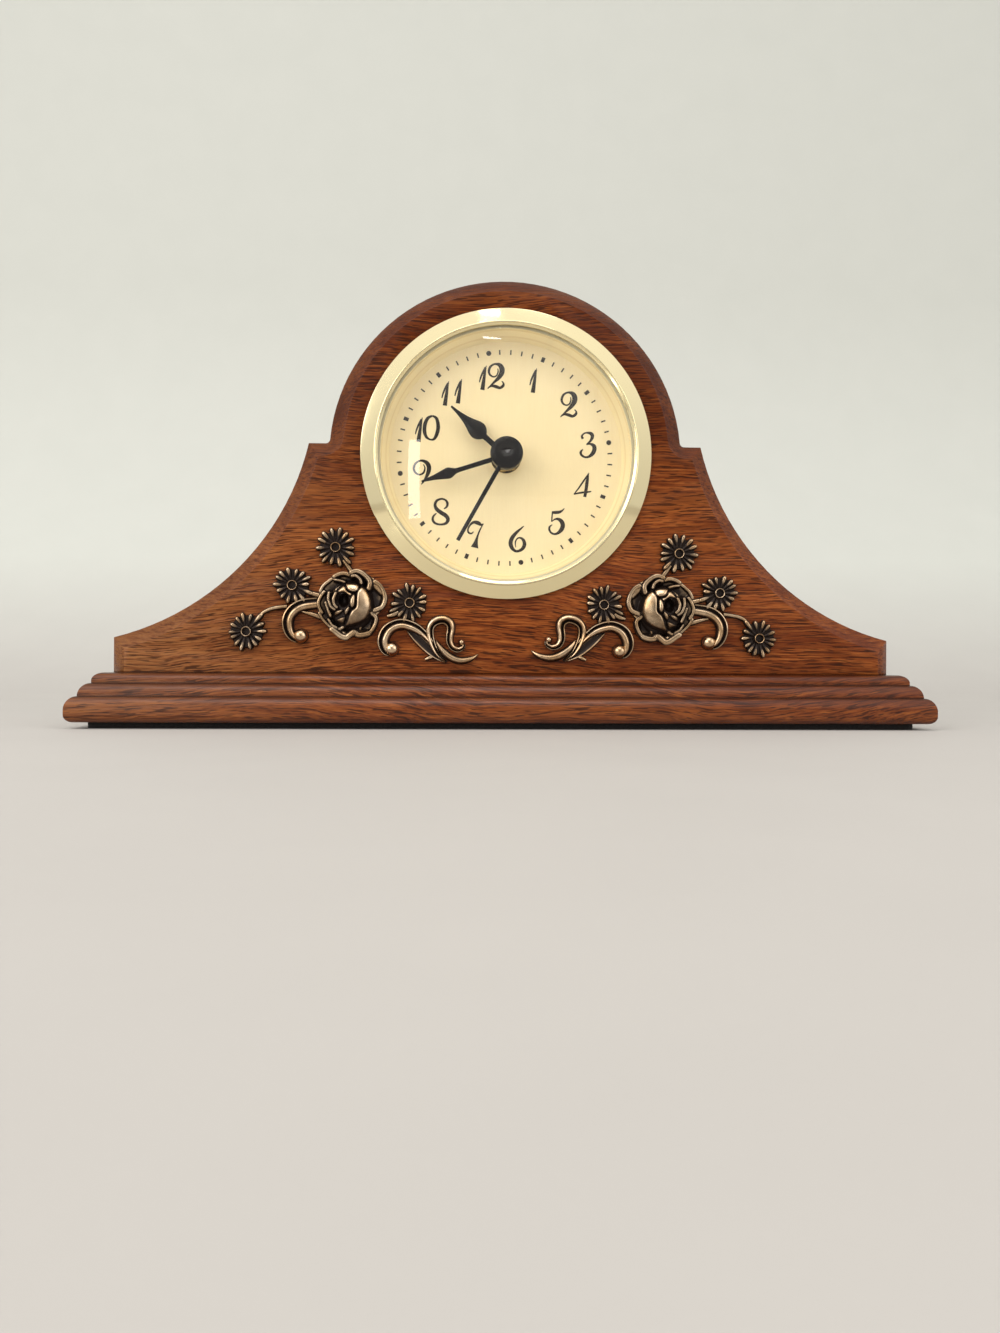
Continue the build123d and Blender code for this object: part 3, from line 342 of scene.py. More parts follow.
def antique_brass():
    """Brass with a dark patina rubbed off where the casting stands proud, plus some painted highlight and shade."""
    g = Nodes(bpy.data.materials.new("antique_brass"))
    wear_and_light = g.add("ShaderNodeAttribute", attribute_name="wear_and_light").outputs["Fac"]
    mottle = g.noise(g.place, 700.0, 4.0, 0.65)
    cloud = g.noise(g.place, 180.0, 2.0)
    rubbed_and_lit = g.math("ADD", wear_and_light, g.math("MULTIPLY", g.math("SUBTRACT", mottle, 0.5), 0.5))
    bright = g.level(rubbed_and_lit, 0.42, 0.98)
    brass = g.mix(g.level(cloud, 0.38, 0.62), (0.68, 0.500, 0.330), (0.50, 0.318, 0.170))
    g.set(Base_Color=g.mix(bright, (0.020, 0.0105, 0.0070), brass), Metallic=g.level(bright, 0.0, 0.4, 0.55, 1.0),
          Roughness=g.level(rubbed_and_lit, 0.2, 0.9, 0.44, 0.21))
    g.bump(mottle, 0.00003, 0.55)
    return g.owner


def copper_winding():
    """Fine enamelled wire laid side by side."""
    g = Nodes(bpy.data.materials.new("copper_winding"))
    turns = g.add("ShaderNodeTexWave", {"Vector": g.place, "Scale": 1400.0, "Distortion": 0.4, "Detail": 1.0},
                  bands_direction="Z").outputs["Fac"]
    g.set(Base_Color=g.mix(turns, (0.25, 0.065, 0.022), (0.62, 0.22, 0.085)), Metallic=0.9, Roughness=0.32)
    g.bump(turns, 0.00003, 0.8)
    return g.owner


INK = moulded("dial_ink", (0.016, 0.0095, 0.004), (0.025, 0.0150, 0.007), 0.55, shine=0.1)
HAND_PAINT = moulded("hand_black", (0.0030, 0.0020, 0.0015), (0.0060, 0.0042, 0.0030), 0.17, 600.0, 0.000001, 0.25)
CAP_PAINT = moulded("cap_black", (0.0030, 0.0020, 0.0015), (0.0055, 0.0040, 0.0030), 0.17, 700.0, 0.000001, 0.15)
# The last arguments: painted shade on turned faces, painted shade along an axis, heights of painted seam shadows.
CASE_WOOD = wood("case_wood", (0.31, 0.07, 0.113), 0.12, 0.75, 0.36, ("Z", 0.045, 0.085, 0.0, 0.52), (14.2,))
BASE_WOOD = wood("base_wood", (0.92, 0.33, 0.407), 0.26, 0.35, 0.50, ("X", -0.11, 0.11, 0.22, 0.40), (8.2, 11.5, 14.2))
BRASS_MOUNT = antique_brass()
BEZEL_BRASS = metal("bezel_brass", (0.90, 0.785, 0.485), (0.88, 0.755, 0.450), 0.07, 120.0, 0.03, 0.000001)
FINISH = {
    "case_body": CASE_WOOD,
    "base_plinth": BASE_WOOD,
    "base_felt": felt(),
    "base_screw_left": metal("screw_zinc", (0.62, 0.60, 0.55), (0.48, 0.46, 0.42), 0.34),
    "floral_mount_left": BRASS_MOUNT,
    "grip_ring": moulded("grip_rubber", (0.020, 0.020, 0.021), (0.032, 0.031, 0.031), 0.72, 500.0),
    "bezel": BEZEL_BRASS,
    "lens": lens_clear(),
    "dial_ring": dial_gold(),
    "dial": dial_paint(),
    "insert_cup": moulded("cup_black", (0.016, 0.016, 0.017), (0.026, 0.026, 0.027), 0.42),
    "movement_plate": moulded("movement_black", (0.018, 0.018, 0.019), (0.030, 0.030, 0.031), 0.5),
    "hand_nut": metal("bright_brass", (0.83, 0.66, 0.32), (0.70, 0.53, 0.24), 0.22),
    "circuit_board": moulded("board_green", (0.030, 0.110, 0.045), (0.018, 0.075, 0.030), 0.42),
    "driver_chip": moulded("chip_black", (0.008, 0.008, 0.008), (0.016, 0.016, 0.016), 0.38),
    "quartz_can": metal("tin_can", (0.74, 0.73, 0.70), (0.60, 0.59, 0.57), 0.24),
    "stator": metal("soft_iron", (0.42, 0.41, 0.40), (0.30, 0.29, 0.28), 0.40),
    "coil_bobbin": moulded("bobbin_white", (0.74, 0.72, 0.66), (0.66, 0.64, 0.58), 0.5),
    "coil_winding": copper_winding(),
    "cell": metal("cell_case", (0.78, 0.62, 0.30), (0.64, 0.50, 0.22), 0.28),
    "contact_plus": metal("contact_steel", (0.70, 0.70, 0.69), (0.56, 0.56, 0.55), 0.26),
    "rotor_magnet": metal("magnet", (0.16, 0.16, 0.17), (0.10, 0.10, 0.105), 0.45),
    "seconds_wheel": metal("wheel_brass", (0.80, 0.61, 0.27), (0.68, 0.49, 0.19), 0.26),
    "setting_knob": moulded("knob_red", (0.30, 0.022, 0.016), (0.22, 0.014, 0.010), 0.4),
    "hour_hand": HAND_PAINT,
    "hub_cap": CAP_PAINT,
}


def dress_nodes():
    """Give every CAD node the finish of its slot: the first node of a slot in FINISH names it."""
    slot_of = {part["node"]: part["material_slot"] for part in frame["record"]["subparts"]}
    by_slot = {slot_of[node]: finish for node, finish in FINISH.items()}
    for name, node in frame["nodes"].items():
        node.data.materials.clear()
        node.data.materials.append(by_slot[slot_of[name]])


def settle(made, body, slot, finish, *nodes):
    """Paint a new piece, let it ride on its body and say which CAD nodes it stands for."""
    made.data.materials.append(finish)
    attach(made, body)
    if nodes:
        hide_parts(*nodes)


# Numerals: strokes of (across, up, half width) points in millimetres around each figure's middle
FIGURES = {
    "1": (
        ((0.88, 3.23, 0.08), (0.47, 1.02, 0.33), (0.14, -1.23, 0.47), (-0.14, -3.23, 0.57)),
        ((0.72, 2.76, 0.29), (0.0, 1.43, 0.27), (-0.61, 0.0, 0.22), (-0.92, -1.23, 0.14)),
    ),
    "2": (
        ((0.56, 2.12, 0.1), (0.66, 1.28, 0.18), (0.31, 0.33, 0.2), (-0.46, -0.08, 0.2), (-1.38, 0.33, 0.26),
         (-1.79, 1.28, 0.31), (-1.48, 2.43, 0.31), (-0.77, 3.09, 0.26), (0.13, 3.32, 0.28), (1.15, 2.99, 0.56),
         (1.69, 2.04, 0.69), (1.58, 0.89, 0.66), (0.82, -0.33, 0.51), (-0.38, -1.53, 0.31), (-1.41, -2.56, 0.2),
         (-2.1, -3.25, 0.13)),
        ((-1.92, -2.99, 0.15), (-1.02, -2.48, 0.31), (0.13, -2.68, 0.43), (1.15, -2.99, 0.36),
         (1.99, -2.43, 0.36), (2.1, -1.79, 0.23), (1.66, -1.2, 0.13)),
    ),
    "3": (
        ((-1.23, 1.71, 0.36), (-1.53, 2.43, 0.26), (-0.89, 3.14, 0.2), (0.0, 3.32, 0.26), (0.97, 3.07, 0.46),
         (1.28, 2.3, 0.46), (0.77, 1.15, 0.31), (-0.26, 0.26, 0.15)),
        ((-0.31, 0.13, 0.13), (0.64, 0.38, 0.26), (1.66, -0.13, 0.51), (1.84, -1.15, 0.56), (1.28, -2.3, 0.51),
         (0.26, -3.07, 0.31), (-0.77, -3.14, 0.26), (-1.64, -2.56, 0.31), (-1.79, -1.79, 0.31),
         (-1.23, -1.1, 0.13)),
    ),
    "4": (
        ((1.79, 3.14, 0.13), (0.38, 1.02, 0.23), (-1.02, -1.02, 0.2), (-2.17, -2.48, 0.13)),
        ((-2.25, -2.56, 0.15), (-0.89, -2.22, 0.23), (0.38, -2.04, 0.26), (1.53, -1.92, 0.23),
         (2.43, -1.76, 0.15)),
        ((1.71, 3.07, 0.1), (1.35, 1.15, 0.41), (1.1, -0.89, 0.43), (0.84, -2.43, 0.41), (0.69, -3.25, 0.41)),
    ),
    "5": (
        ((-1.06, 2.35, 0.33), (-0.2, 2.35, 0.41), (0.82, 2.49, 0.37), (1.63, 2.96, 0.2), (2.08, 3.51, 0.08)),
        ((-1.06, 2.7, 0.16), (-1.18, 1.43, 0.18), (-1.31, -0.1, 0.14)),
        ((-1.27, -0.1, 0.1), (-0.51, 0.51, 0.2), (0.41, 0.61, 0.37), (1.33, 0.0, 0.55), (1.68, -1.12, 0.59),
         (1.27, -2.25, 0.55), (0.41, -3.11, 0.37), (-0.51, -3.39, 0.27), (-1.39, -3.06, 0.27),
         (-1.9, -2.25, 0.29), (-1.8, -1.47, 0.25), (-1.12, -0.92, 0.1)),
    ),
    "6": (
        ((1.65, 3.47, 0.1), (0.72, 2.66, 0.25), (-0.51, 1.53, 0.41), (-1.53, 0.2, 0.53), (-1.88, -1.12, 0.55),
         (-1.53, -2.35, 0.49), (-0.67, -3.17, 0.35), (0.31, -3.17, 0.35), (1.33, -2.55, 0.45),
         (1.82, -1.43, 0.49), (1.53, -0.31, 0.41), (0.72, 0.31, 0.25), (-0.1, 0.1, 0.18),
         (-0.61, -0.82, 0.18), (-0.51, -2.25, 0.08)),
    ),
    "7": (
        ((-0.49, 0.82, 0.11), (-1.09, 0.33, 0.22), (-1.85, 0.6, 0.25), (-1.96, 1.5, 0.22), (-1.36, 2.67, 0.27),
         (-0.41, 3.32, 0.38), (0.68, 3.13, 0.54), (1.5, 2.67, 0.33), (2.13, 2.94, 0.14)),
        ((2.04, 2.86, 0.11), (1.23, 1.36, 0.19), (0.6, -0.27, 0.25), (0.22, -1.63, 0.44), (-0.05, -2.72, 0.76),
         (-0.22, -3.41, 1.04)),
    ),
    "8": (
        ((0.87, 0.74, 0.14), (1.63, 1.36, 0.27), (1.8, 2.32, 0.33), (1.23, 3.13, 0.25), (0.14, 3.38, 0.25),
         (-1.04, 2.86, 0.33), (-1.47, 1.77, 0.38), (-1.04, 0.68, 0.49), (0.14, -0.27, 0.54), (1.36, -1.01, 0.54),
         (1.96, -1.99, 0.49), (1.5, -3.0, 0.38), (0.14, -3.41, 0.27), (-1.31, -3.13, 0.3),
         (-2.04, -2.32, 0.33), (-1.91, -1.28, 0.27), (-1.09, -0.41, 0.14)),
    ),
    "9": (
        ((0.46, 2.18, 0.11), (0.87, 1.28, 0.19), (0.57, 0.05, 0.25), (-0.41, -0.57, 0.22), (-1.5, -0.16, 0.27),
         (-2.04, 0.87, 0.33), (-1.77, 2.1, 0.3), (-0.82, 2.97, 0.25), (0.27, 3.13, 0.33), (1.44, 2.51, 0.54),
         (1.96, 1.28, 0.6), (1.63, -0.35, 0.49), (0.82, -1.99, 0.3), (-0.08, -3.16, 0.11)),
    ),
    "0": (
        ((0.37, 3.17, 0.22), (1.39, 2.45, 0.41), (1.84, 0.61, 0.49), (1.63, -1.23, 0.49), (0.88, -2.86, 0.37),
         (-0.14, -3.17, 0.22), (-1.27, -2.45, 0.37), (-1.78, -0.82, 0.49), (-1.61, 1.02, 0.49),
         (-0.86, 2.55, 0.41), (0.37, 3.17, 0.22)),
    ),
}

# Where each figure's middle lies from the dial's axis
NUMERALS = (
    ("1", -6.16, 21.23), ("2", -2.8, 21.6), ("1", 7.26, 20.67), ("2", 16.61, 14.3), ("3", 21.78, 3.63),
    ("4", 20.4, -6.9), ("5", 13.57, -16.71), ("6", 3.25, -21.5), ("7", -7.99, -20.47), ("8", -17.25, -14.42),
    ("9", -22.32, -4.09), ("1", -23.06, 7.27), ("0", -19.82, 7.81), ("1", -16.1, 16.94), ("1", -12.65, 17.57),
)
INK_RISE = 0.03
INK_SINK = 0.02
STROKE_STEP = 0.002


def ink_loop(shape, outline):
    """A thin printed patch with the given outline of (x, z) points."""
    front = [(x, DIAL_Y - INK_RISE, AXIS_Z + z) for x, z in outline]
    back = [(x, DIAL_Y + INK_SINK, AXIS_Z + z) for x, z in outline]
    shape.loops([back, front])


def stroke(shape, points, lift):
    """A printed stroke: thin loops of print along a curve of changing width."""
    curve = spline(points, 5)
    rows = []
    for k, (x, z, half) in enumerate(curve):
        before, after = curve[max(0, k - 1)], curve[min(len(curve) - 1, k + 1)]
        along = Vector((after[0] - before[0], after[1] - before[1])).normalized()
        left = (x - along.y * half, AXIS_Z + z + along.x * half)
        right = (x + along.y * half, AXIS_Z + z - along.x * half)
        front, back = DIAL_Y - INK_RISE - lift, DIAL_Y + INK_SINK
        rows.append([(left[0], front, left[1]), (right[0], front, right[1]),
                     (right[0], back, right[1]), (left[0], back, left[1])])
    shape.loops(rows)


def make_numerals():
    """The twelve hours in italic figures with thick and thin strokes."""
    shape = Shape()
    for figure, across, up in NUMERALS:
        for number, points in enumerate(FIGURES[figure]):
            stroke(shape, [(x + across, z + up, half) for x, z, half in points], STROKE_STEP * number)
    settle(shape.mesh("dial_numerals", sharp=30.0), "insert", "hand_black", INK)


# The minute track: its circle, its dots, and half the length and width of its hour blocks and ticks
TRACK_RADIUS = 28.05
TRACK_CENTRE = (-0.25, 0.0)
DOT_RADIUS = 0.66
HOUR_BLOCK = (0.66, 0.46)
TICK = (0.62, 0.18)


def make_track():
    """The minute track: ticks, small blocks at the hours and dots at the quarters."""
    shape = Shape()
    for minute in range(60):
        turn = math.radians(6.0 * minute - TWIST)
        out = Vector((math.sin(turn), math.cos(turn)))
        side = Vector((out.y, -out.x))
        middle = Vector(TRACK_CENTRE) + out * TRACK_RADIUS
        if minute % 15 == 0:
            outline = [middle + DOT_RADIUS * (out * math.cos(k * math.pi / 10) + side * math.sin(k * math.pi / 10))
                       for k in range(20)]
        else:
            half_length, half_width = HOUR_BLOCK if minute % 5 == 0 else TICK
            outline = [middle + out * half_length * a + side * half_width * b
                       for a, b in ((-1, -1), (1, -1), (1, 1), (-1, 1))]
        ink_loop(shape, outline)
    settle(shape.mesh("dial_track", sharp=30.0), "insert", "hand_black", INK)


# Hands: the angle each shows, the depth of its back face, its body, and (distance, half width, swell) points on it
HANDS = {
    "hour_hand": (311.7, 2.9, "hours", ((0.0, 0.74, 0.0), (4.0, 0.73, 0.0), (7.3, 0.74, 0.02), (7.9, 1.20, 0.2),
                                        (8.6, 1.86, 0.38), (9.4, 2.24, 0.5), (10.3, 2.32, 0.54), (11.5, 2.02, 0.44),
                                        (13.0, 1.42, 0.24), (14.9, 0.86, 0.1), (17.3, 0.45, 0.03),
                                        (19.4, 0.24, 0.0))),
    "minute_hand": (252.2, 1.75, "minutes", ((0.0, 0.62, 0.0), (7.0, 0.61, 0.0), (13.1, 0.61, 0.02),
                                             (14.5, 0.98, 0.2), (15.8, 1.45, 0.38), (17.5, 1.15, 0.25),
                                             (19.6, 0.70, 0.1), (21.7, 0.40, 0.03), (23.3, 0.20, 0.0))),
    "second_hand": (209.2, 0.4, "seconds", ((0.0, 0.58, 0.0), (4.0, 0.57, 0.0), (13.0, 0.54, 0.0),
                                            (25.9, 0.50, 0.0))),
}
HAND_THICKNESS = 0.45
HAND_ROUNDING = 0.12
HUB_RADII = {"hour_hand": 2.9, "minute_hand": 2.25, "second_hand": 1.6}


def make_hand(name):
    """A blade with rounded edges whose leaf swells out like a seed, and its hub."""
    angle, depth, body, outline = HANDS[name]
    shape = Shape()
    turn = math.radians(angle)
    out = Vector((math.sin(turn), math.cos(turn)))
    side = Vector((out.y, -out.x))
    back = FACE_Y + depth
    front = back - HAND_THICKNESS
    rows = []
    for reach, half, swell in spline(outline, 6):
        middle = out * reach
        row = []
        for share in (k / 6 for k in range(-6, 7)):
            flat = middle + side * half * share
            dome = math.sqrt(max(0.0, 1 - share * share))
            row.append((flat.x, front + HAND_ROUNDING * (1 - dome) - swell * dome, AXIS_Z + flat.y))
        for share in (1.0, -1.0):
            flat = middle + side * half * share
            row.append((flat.x, back, AXIS_Z + flat.y))
        rows.append(row)
    shape.loops(rows)
    radius = HUB_RADII[name]
    lathe(shape, ((0.05, back), (radius, back), (radius, front + 0.1), (radius - 0.1, front - 0.02),
                  (0.05, front - 0.02)), 48)
    settle(shape.mesh(name + "_blade", sharp=50.0), body, "hand_black", HAND_PAINT, name)


# Turned rings: (radius, depth) points round each section, and the bead's middle, half width and rise
TURNS = 240
BEZEL_BEAD = (34.22, -1.7, 0.3, 0.25)
BEZEL_INSIDE = ((33.47, -1.5),)
BEZEL_OUTSIDE = ((37.80, -0.9), (37.95, -0.86), (38.06, -0.75), (38.1, -0.6), (38.1, 0.0), (34.77, 0.0), (34.77, 8.0),
                 (33.92, 8.0), (33.92, -0.9), (33.47, -0.9))
DIAL_RING = ((32.8, 0.36), (33.8, 0.36), (33.8, 5.2), (30.9, 5.2))


def make_turned(name, profile, slot, finish, node):
    """A ring of the insert, turned from (radius, depth behind the wood's face) points in place of its CAD node."""
    shape = Shape()
    lathe(shape, [(radius, FACE_Y + depth) for radius, depth in profile], TURNS)
    settle(shape.mesh(name, sharp=30.0), "insert", slot, finish, node)


def make_rings():
    """The brass bezel with its fine bead, and the gold ring a hair behind the lens, where no two faces coincide."""
    radius, depth, half, rise = BEZEL_BEAD
    angles = [math.pi * (1 - step / 8) for step in range(9)]
    bead = [(radius + half * math.cos(angle), depth - rise * math.sin(angle)) for angle in angles]
    make_turned("bezel_turned", (*BEZEL_INSIDE, *bead, *BEZEL_OUTSIDE), "bezel_brass", BEZEL_BRASS, "bezel")
    make_turned("dial_ring_turned", DIAL_RING, "dial_gold", FINISH["dial_ring"], "dial_ring")


def make_hub_cap():
    """The tall black cap: a straight side, a rounded edge and a nearly flat top."""
    foot = FACE_Y + 0.4 - HAND_THICKNESS
    profile = [(0.05, foot), (4.1, foot), (4.3, foot - 0.2), (4.26, foot - 1.5)]
    for step in range(8):
        angle = math.radians(10.0 * step)
        profile.append((3.52 + 0.72 * math.cos(angle), foot - 1.66 - 0.72 * math.sin(angle)))
    profile += [(3.62, foot - 2.44), (3.3, foot - 2.58), (2.9, foot - 2.67), (2.5, foot - 2.7), (0.05, foot - 2.7)]
    shape = Shape()
    lathe(shape, profile, 72)
    settle(shape.mesh("hub_button"), "seconds", "cap_black", CAP_PAINT, "hub_cap")


EASE_WIDTH = 0.00055
EASE_ANGLE = 28.0
FLAT_ANGLE = 0.4
MERGE_REACH = 2e-6


def make_case():
    """The wooden body with its edges eased by hand sanding."""
    data = frame["nodes"]["case_body"].data.copy()
    tidy = bmesh.new()
    tidy.from_mesh(data)
    bmesh.ops.remove_doubles(tidy, verts=tidy.verts, dist=MERGE_REACH)
    bmesh.ops.dissolve_limit(tidy, angle_limit=math.radians(FLAT_ANGLE), verts=tidy.verts, edges=tidy.edges)
    tidy.to_mesh(data)
    tidy.free()
    made = bpy.data.objects.new("case_eased", data)
    scene.collection.objects.link(made)
    data.materials.clear()
    ease = made.modifiers.new("ease", "BEVEL")
    ease.width = EASE_WIDTH
    ease.segments = 3
    ease.limit_method = "ANGLE"
    ease.angle_limit = math.radians(EASE_ANGLE)
    ease.use_clamp_overlap = True
    ease.harden_normals = True
    depsgraph = bpy.context.evaluated_depsgraph_get()
    eased = bpy.data.meshes.new_from_object(made.evaluated_get(depsgraph))
    made.modifiers.clear()
    made.data = eased
    bpy.data.meshes.remove(data)
    for polygon in eased.polygons:
        polygon.use_smooth = True
    settle(made, "case", "case_wood", CASE_WOOD, "case_body")


# Floral mounts: everything is drawn for the left one, across and up from its middle and out from the wood. The places
# are (across, up, tilt in degrees).
MOUNT_PLACES = {"left": (-40.6, 32.15, 0.0), "right": (41.1, 31.35, 2.2)}
MOUNT_FOOT = -0.04
ROSE_AT = (0.6, -0.45)
HEART_AT = (0.4, -0.2)

# The rose's edge, around its middle
ROSE_EDGE = (
    (8.4, -0.4), (9.15, 1.2), (8.9, 3.2), (7.6, 5.6), (6.1, 6.7), (4.9, 7.6), (3.7, 8.4), (2.6, 9.1),
    (1.2, 9.4), (-0.2, 9.0), (-0.6, 8.5), (-1.9, 8.75), (-3.4, 8.5), (-4.7, 7.8), (-6.1, 6.5),
    (-7.5, 5.3), (-8.3, 3.8), (-8.4, 2.5), (-9.1, 0.8), (-8.85, -0.6), (-8.6, -2.0), (-7.9, -3.7),
    (-6.6, -5.1), (-5.6, -6.3), (-4.2, -7.5), (-2.7, -8.6), (-1.4, -9.1), (-0.4, -8.4), (0.5, -8.1),
    (1.6, -8.4), (3.1, -8.6), (4.6, -8.0), (6.0, -6.5), (6.8, -4.7), (7.0, -3.5), (6.6, -2.6),
    (7.2, -1.6),
)

# Rolled rims of its petals: height, half width and the line that each follows
ROSE_RIMS = (
    (2.3, 0.5, ((-8.1, 3.6), (-7.25, 5.1), (-5.95, 6.25), (-4.75, 7.1))),
    (2.6, 0.62, ((-4.5, 7.45), (-3.35, 8.05), (-1.9, 8.3), (-0.55, 7.9))),
    (3.1, 0.74, ((-0.1, 8.5), (1.2, 8.9), (2.45, 8.55), (3.55, 7.75), (4.55, 6.6), (4.75, 5.5), (4.47, 4.4))),
    (3.4, 0.42, ((0.17, 7.55), (1.24, 7.6), (2.28, 6.7), (2.6, 5.7))),
    (3.0, 0.32, ((-4.4, 6.6), (-3.05, 6.4), (-1.74, 6.0))),
    (2.6, 0.74, ((6.0, 6.15), (7.1, 5.55), (8.0, 4.3), (8.45, 3.0), (8.6, 1.35), (7.95, -0.25), (7.1, -0.75),
                 (5.88, -1.2))),
    (1.9, 0.35, ((4.8, 7.5), (5.45, 7.0), (6.0, 6.15))),
    (2.4, 0.58, ((5.0, -1.9), (6.2, -2.9), (6.25, -4.3), (5.4, -6.1), (4.4, -7.3))),
    (2.6, 0.9, ((4.4, -7.2), (2.8, -7.6), (1.5, -7.5), (1.0, -6.95))),
    (2.0, 0.4, ((5.38, -1.95), (6.2, -2.1), (6.9, -1.7))),
    (2.9, 0.95, ((-5.0, -6.3), (-4.0, -6.95), (-2.7, -7.95), (-1.45, -8.35), (-0.45, -7.7), (0.6, -6.85))),
    (2.2, 0.42, ((-8.3, -1.95), (-7.55, -3.4), (-6.3, -4.8), (-5.15, -5.65), (-3.25, -6.1), (-2.1, -5.55))),
    (2.2, 0.52, ((-7.1, 3.5), (-7.95, 2.35), (-8.55, 0.75), (-8.35, -0.55), (-7.6, -1.8))),
    (3.1, 0.42, ((-6.54, 0.7), (-5.96, -1.08), (-5.3, -2.73))),
    (2.6, 0.32, ((-5.88, -3.6), (-4.97, -5.0), (-3.72, -5.75))),
    (4.5, 0.42, ((-3.8, 3.05), (-4.39, 1.57), (-4.22, 0.25), (-3.55, -0.6))),
    (3.8, 0.42, ((-5.6, 3.2), (-5.79, 1.7), (-5.7, 1.1))),
    (4.0, 0.42, ((-5.54, 0.74), (-5.05, -0.41), (-4.14, -1.08))),
    (1.9, 0.3, ((2.2, -6.1), (2.5, -5.2), (2.7, -4.4))),
)

# Faces of the petals that wrap the heart: how far each stands off the heart's dome, and its outline
HEART_FACES = (
    (0.5, ((2.4, 4.97), (1.32, 3.72), (1.11, 1.74), (0.99, -0.25), (-0.08, -1.24), (-0.74, -2.4), (-1.41, -4.05),
            (-2.07, -5.3), (-0.41, -5.05), (1.41, -4.55), (3.39, -3.39), (4.47, -1.57), (4.85, 0.08), (4.55, 2.23),
            (3.56, 4.05))),
    (0.25, ((-1.74, 5.71), (-0.41, 5.95), (0.91, 5.79), (1.65, 5.21), (1.49, 4.22), (0.74, 3.56), (-0.74, 3.81),
            (-1.49, 4.55))),
    (-0.05, ((-2.73, 5.3), (-1.9, 5.05), (-1.24, 3.81), (-0.08, 3.23), (-0.5, 2.4), (-1.41, 3.06),
             (-2.4, 3.56), (-4.05, 3.31), (-3.56, 4.39))),
    (-0.1, ((-3.06, 5.46), (-4.05, 5.05), (-5.21, 4.22), (-5.54, 3.64), (-4.72, 3.39), (-4.05, 4.05))),
    (0.4, ((0.17, 2.9), (0.78, 2.73), (0.86, 1.41), (0.64, -0.08), (-0.08, -0.58), (-0.58, 0.41), (-0.5, 1.74))),
    (0.15, ((-2.07, -1.41), (-1.41, -0.41), (-0.66, -0.08), (-0.58, -1.08), (-1.24, -2.23), (-1.9, -2.4))),
    (0.0, ((-4.72, -1.9), (-4.05, -1.08), (-2.57, -0.88), (-2.4, -1.41), (-3.39, -2.23), (-4.55, -2.57))),
    (0.0, ((-4.63, -3.72), (-3.39, -3.06), (-2.07, -2.73), (-1.65, -3.14), (-2.4, -4.55), (-3.56, -4.22))),
)

# Faces of the open petals around it: height in the middle of each, and its outline
OPEN_FACES = (
    (2.2, ((5.45, 4.6), (5.6, 6.0), (6.7, 6.4), (8.1, 4.8), (8.8, 2.4), (7.7, 2.4), (6.6, 3.4))),
    (1.9, ((7.6, 2.3), (8.8, 2.3), (8.6, 0.2), (7.5, -0.9), (6.3, -1.0), (7.1, 0.3))),
    (1.9, ((5.3, -2.2), (6.4, -3.0), (6.4, -4.39), (5.6, -6.0), (4.9, -5.6), (5.3, -3.89))),
    (2.0, ((4.6, -7.4), (3.0, -8.2), (1.6, -8.0), (0.9, -7.1), (1.9, -6.2), (3.4, -6.2), (4.7, -6.4))),
    (2.2, ((-5.2, -6.3), (-4.0, -7.4), (-2.6, -8.4), (-1.4, -8.7), (-0.5, -7.9), (-1.6, -6.5),
           (-3.3, -6.5))),
)

# The hollow eye: its middle and its half width and height
EYE = (-2.2, 1.4, 1.45, 1.8)
ROSE_TURNS = 168
ROSE_STEPS = 54


def nearest(points, line):
    """The distance from every point to a line of straight pieces."""
    starts, along = line[:-1], line[1:] - line[:-1]
    reach = points[:, None, :] - starts[None]
    share = np.clip((reach * along).sum(2) / np.maximum((along ** 2).sum(1), 1e-9), 0.0, 1.0)
    return np.linalg.norm(reach - share[..., None] * along, axis=2).min(1)


def depth_inside(points, outline):
    """How far every point lies inside a closed outline; less than nothing outside it."""
    smooth = np.array(spline(outline, 4, closed=True))
    line = np.vstack([smooth, smooth[:1]])
    x, z = points[:, 0, None], points[:, 1, None]
    low, high = line[:-1], line[1:]
    spans = (low[:, 1] > z) != (high[:, 1] > z)
    rise = np.where(high[:, 1] == low[:, 1], 1e-9, high[:, 1] - low[:, 1])
    crossed = spans & (x < low[:, 0] + (z - low[:, 1]) * (high[:, 0] - low[:, 0]) / rise)
    inside = crossed.sum(1) % 2 == 1
    return np.where(inside, 1.0, -1.0) * nearest(points, line)


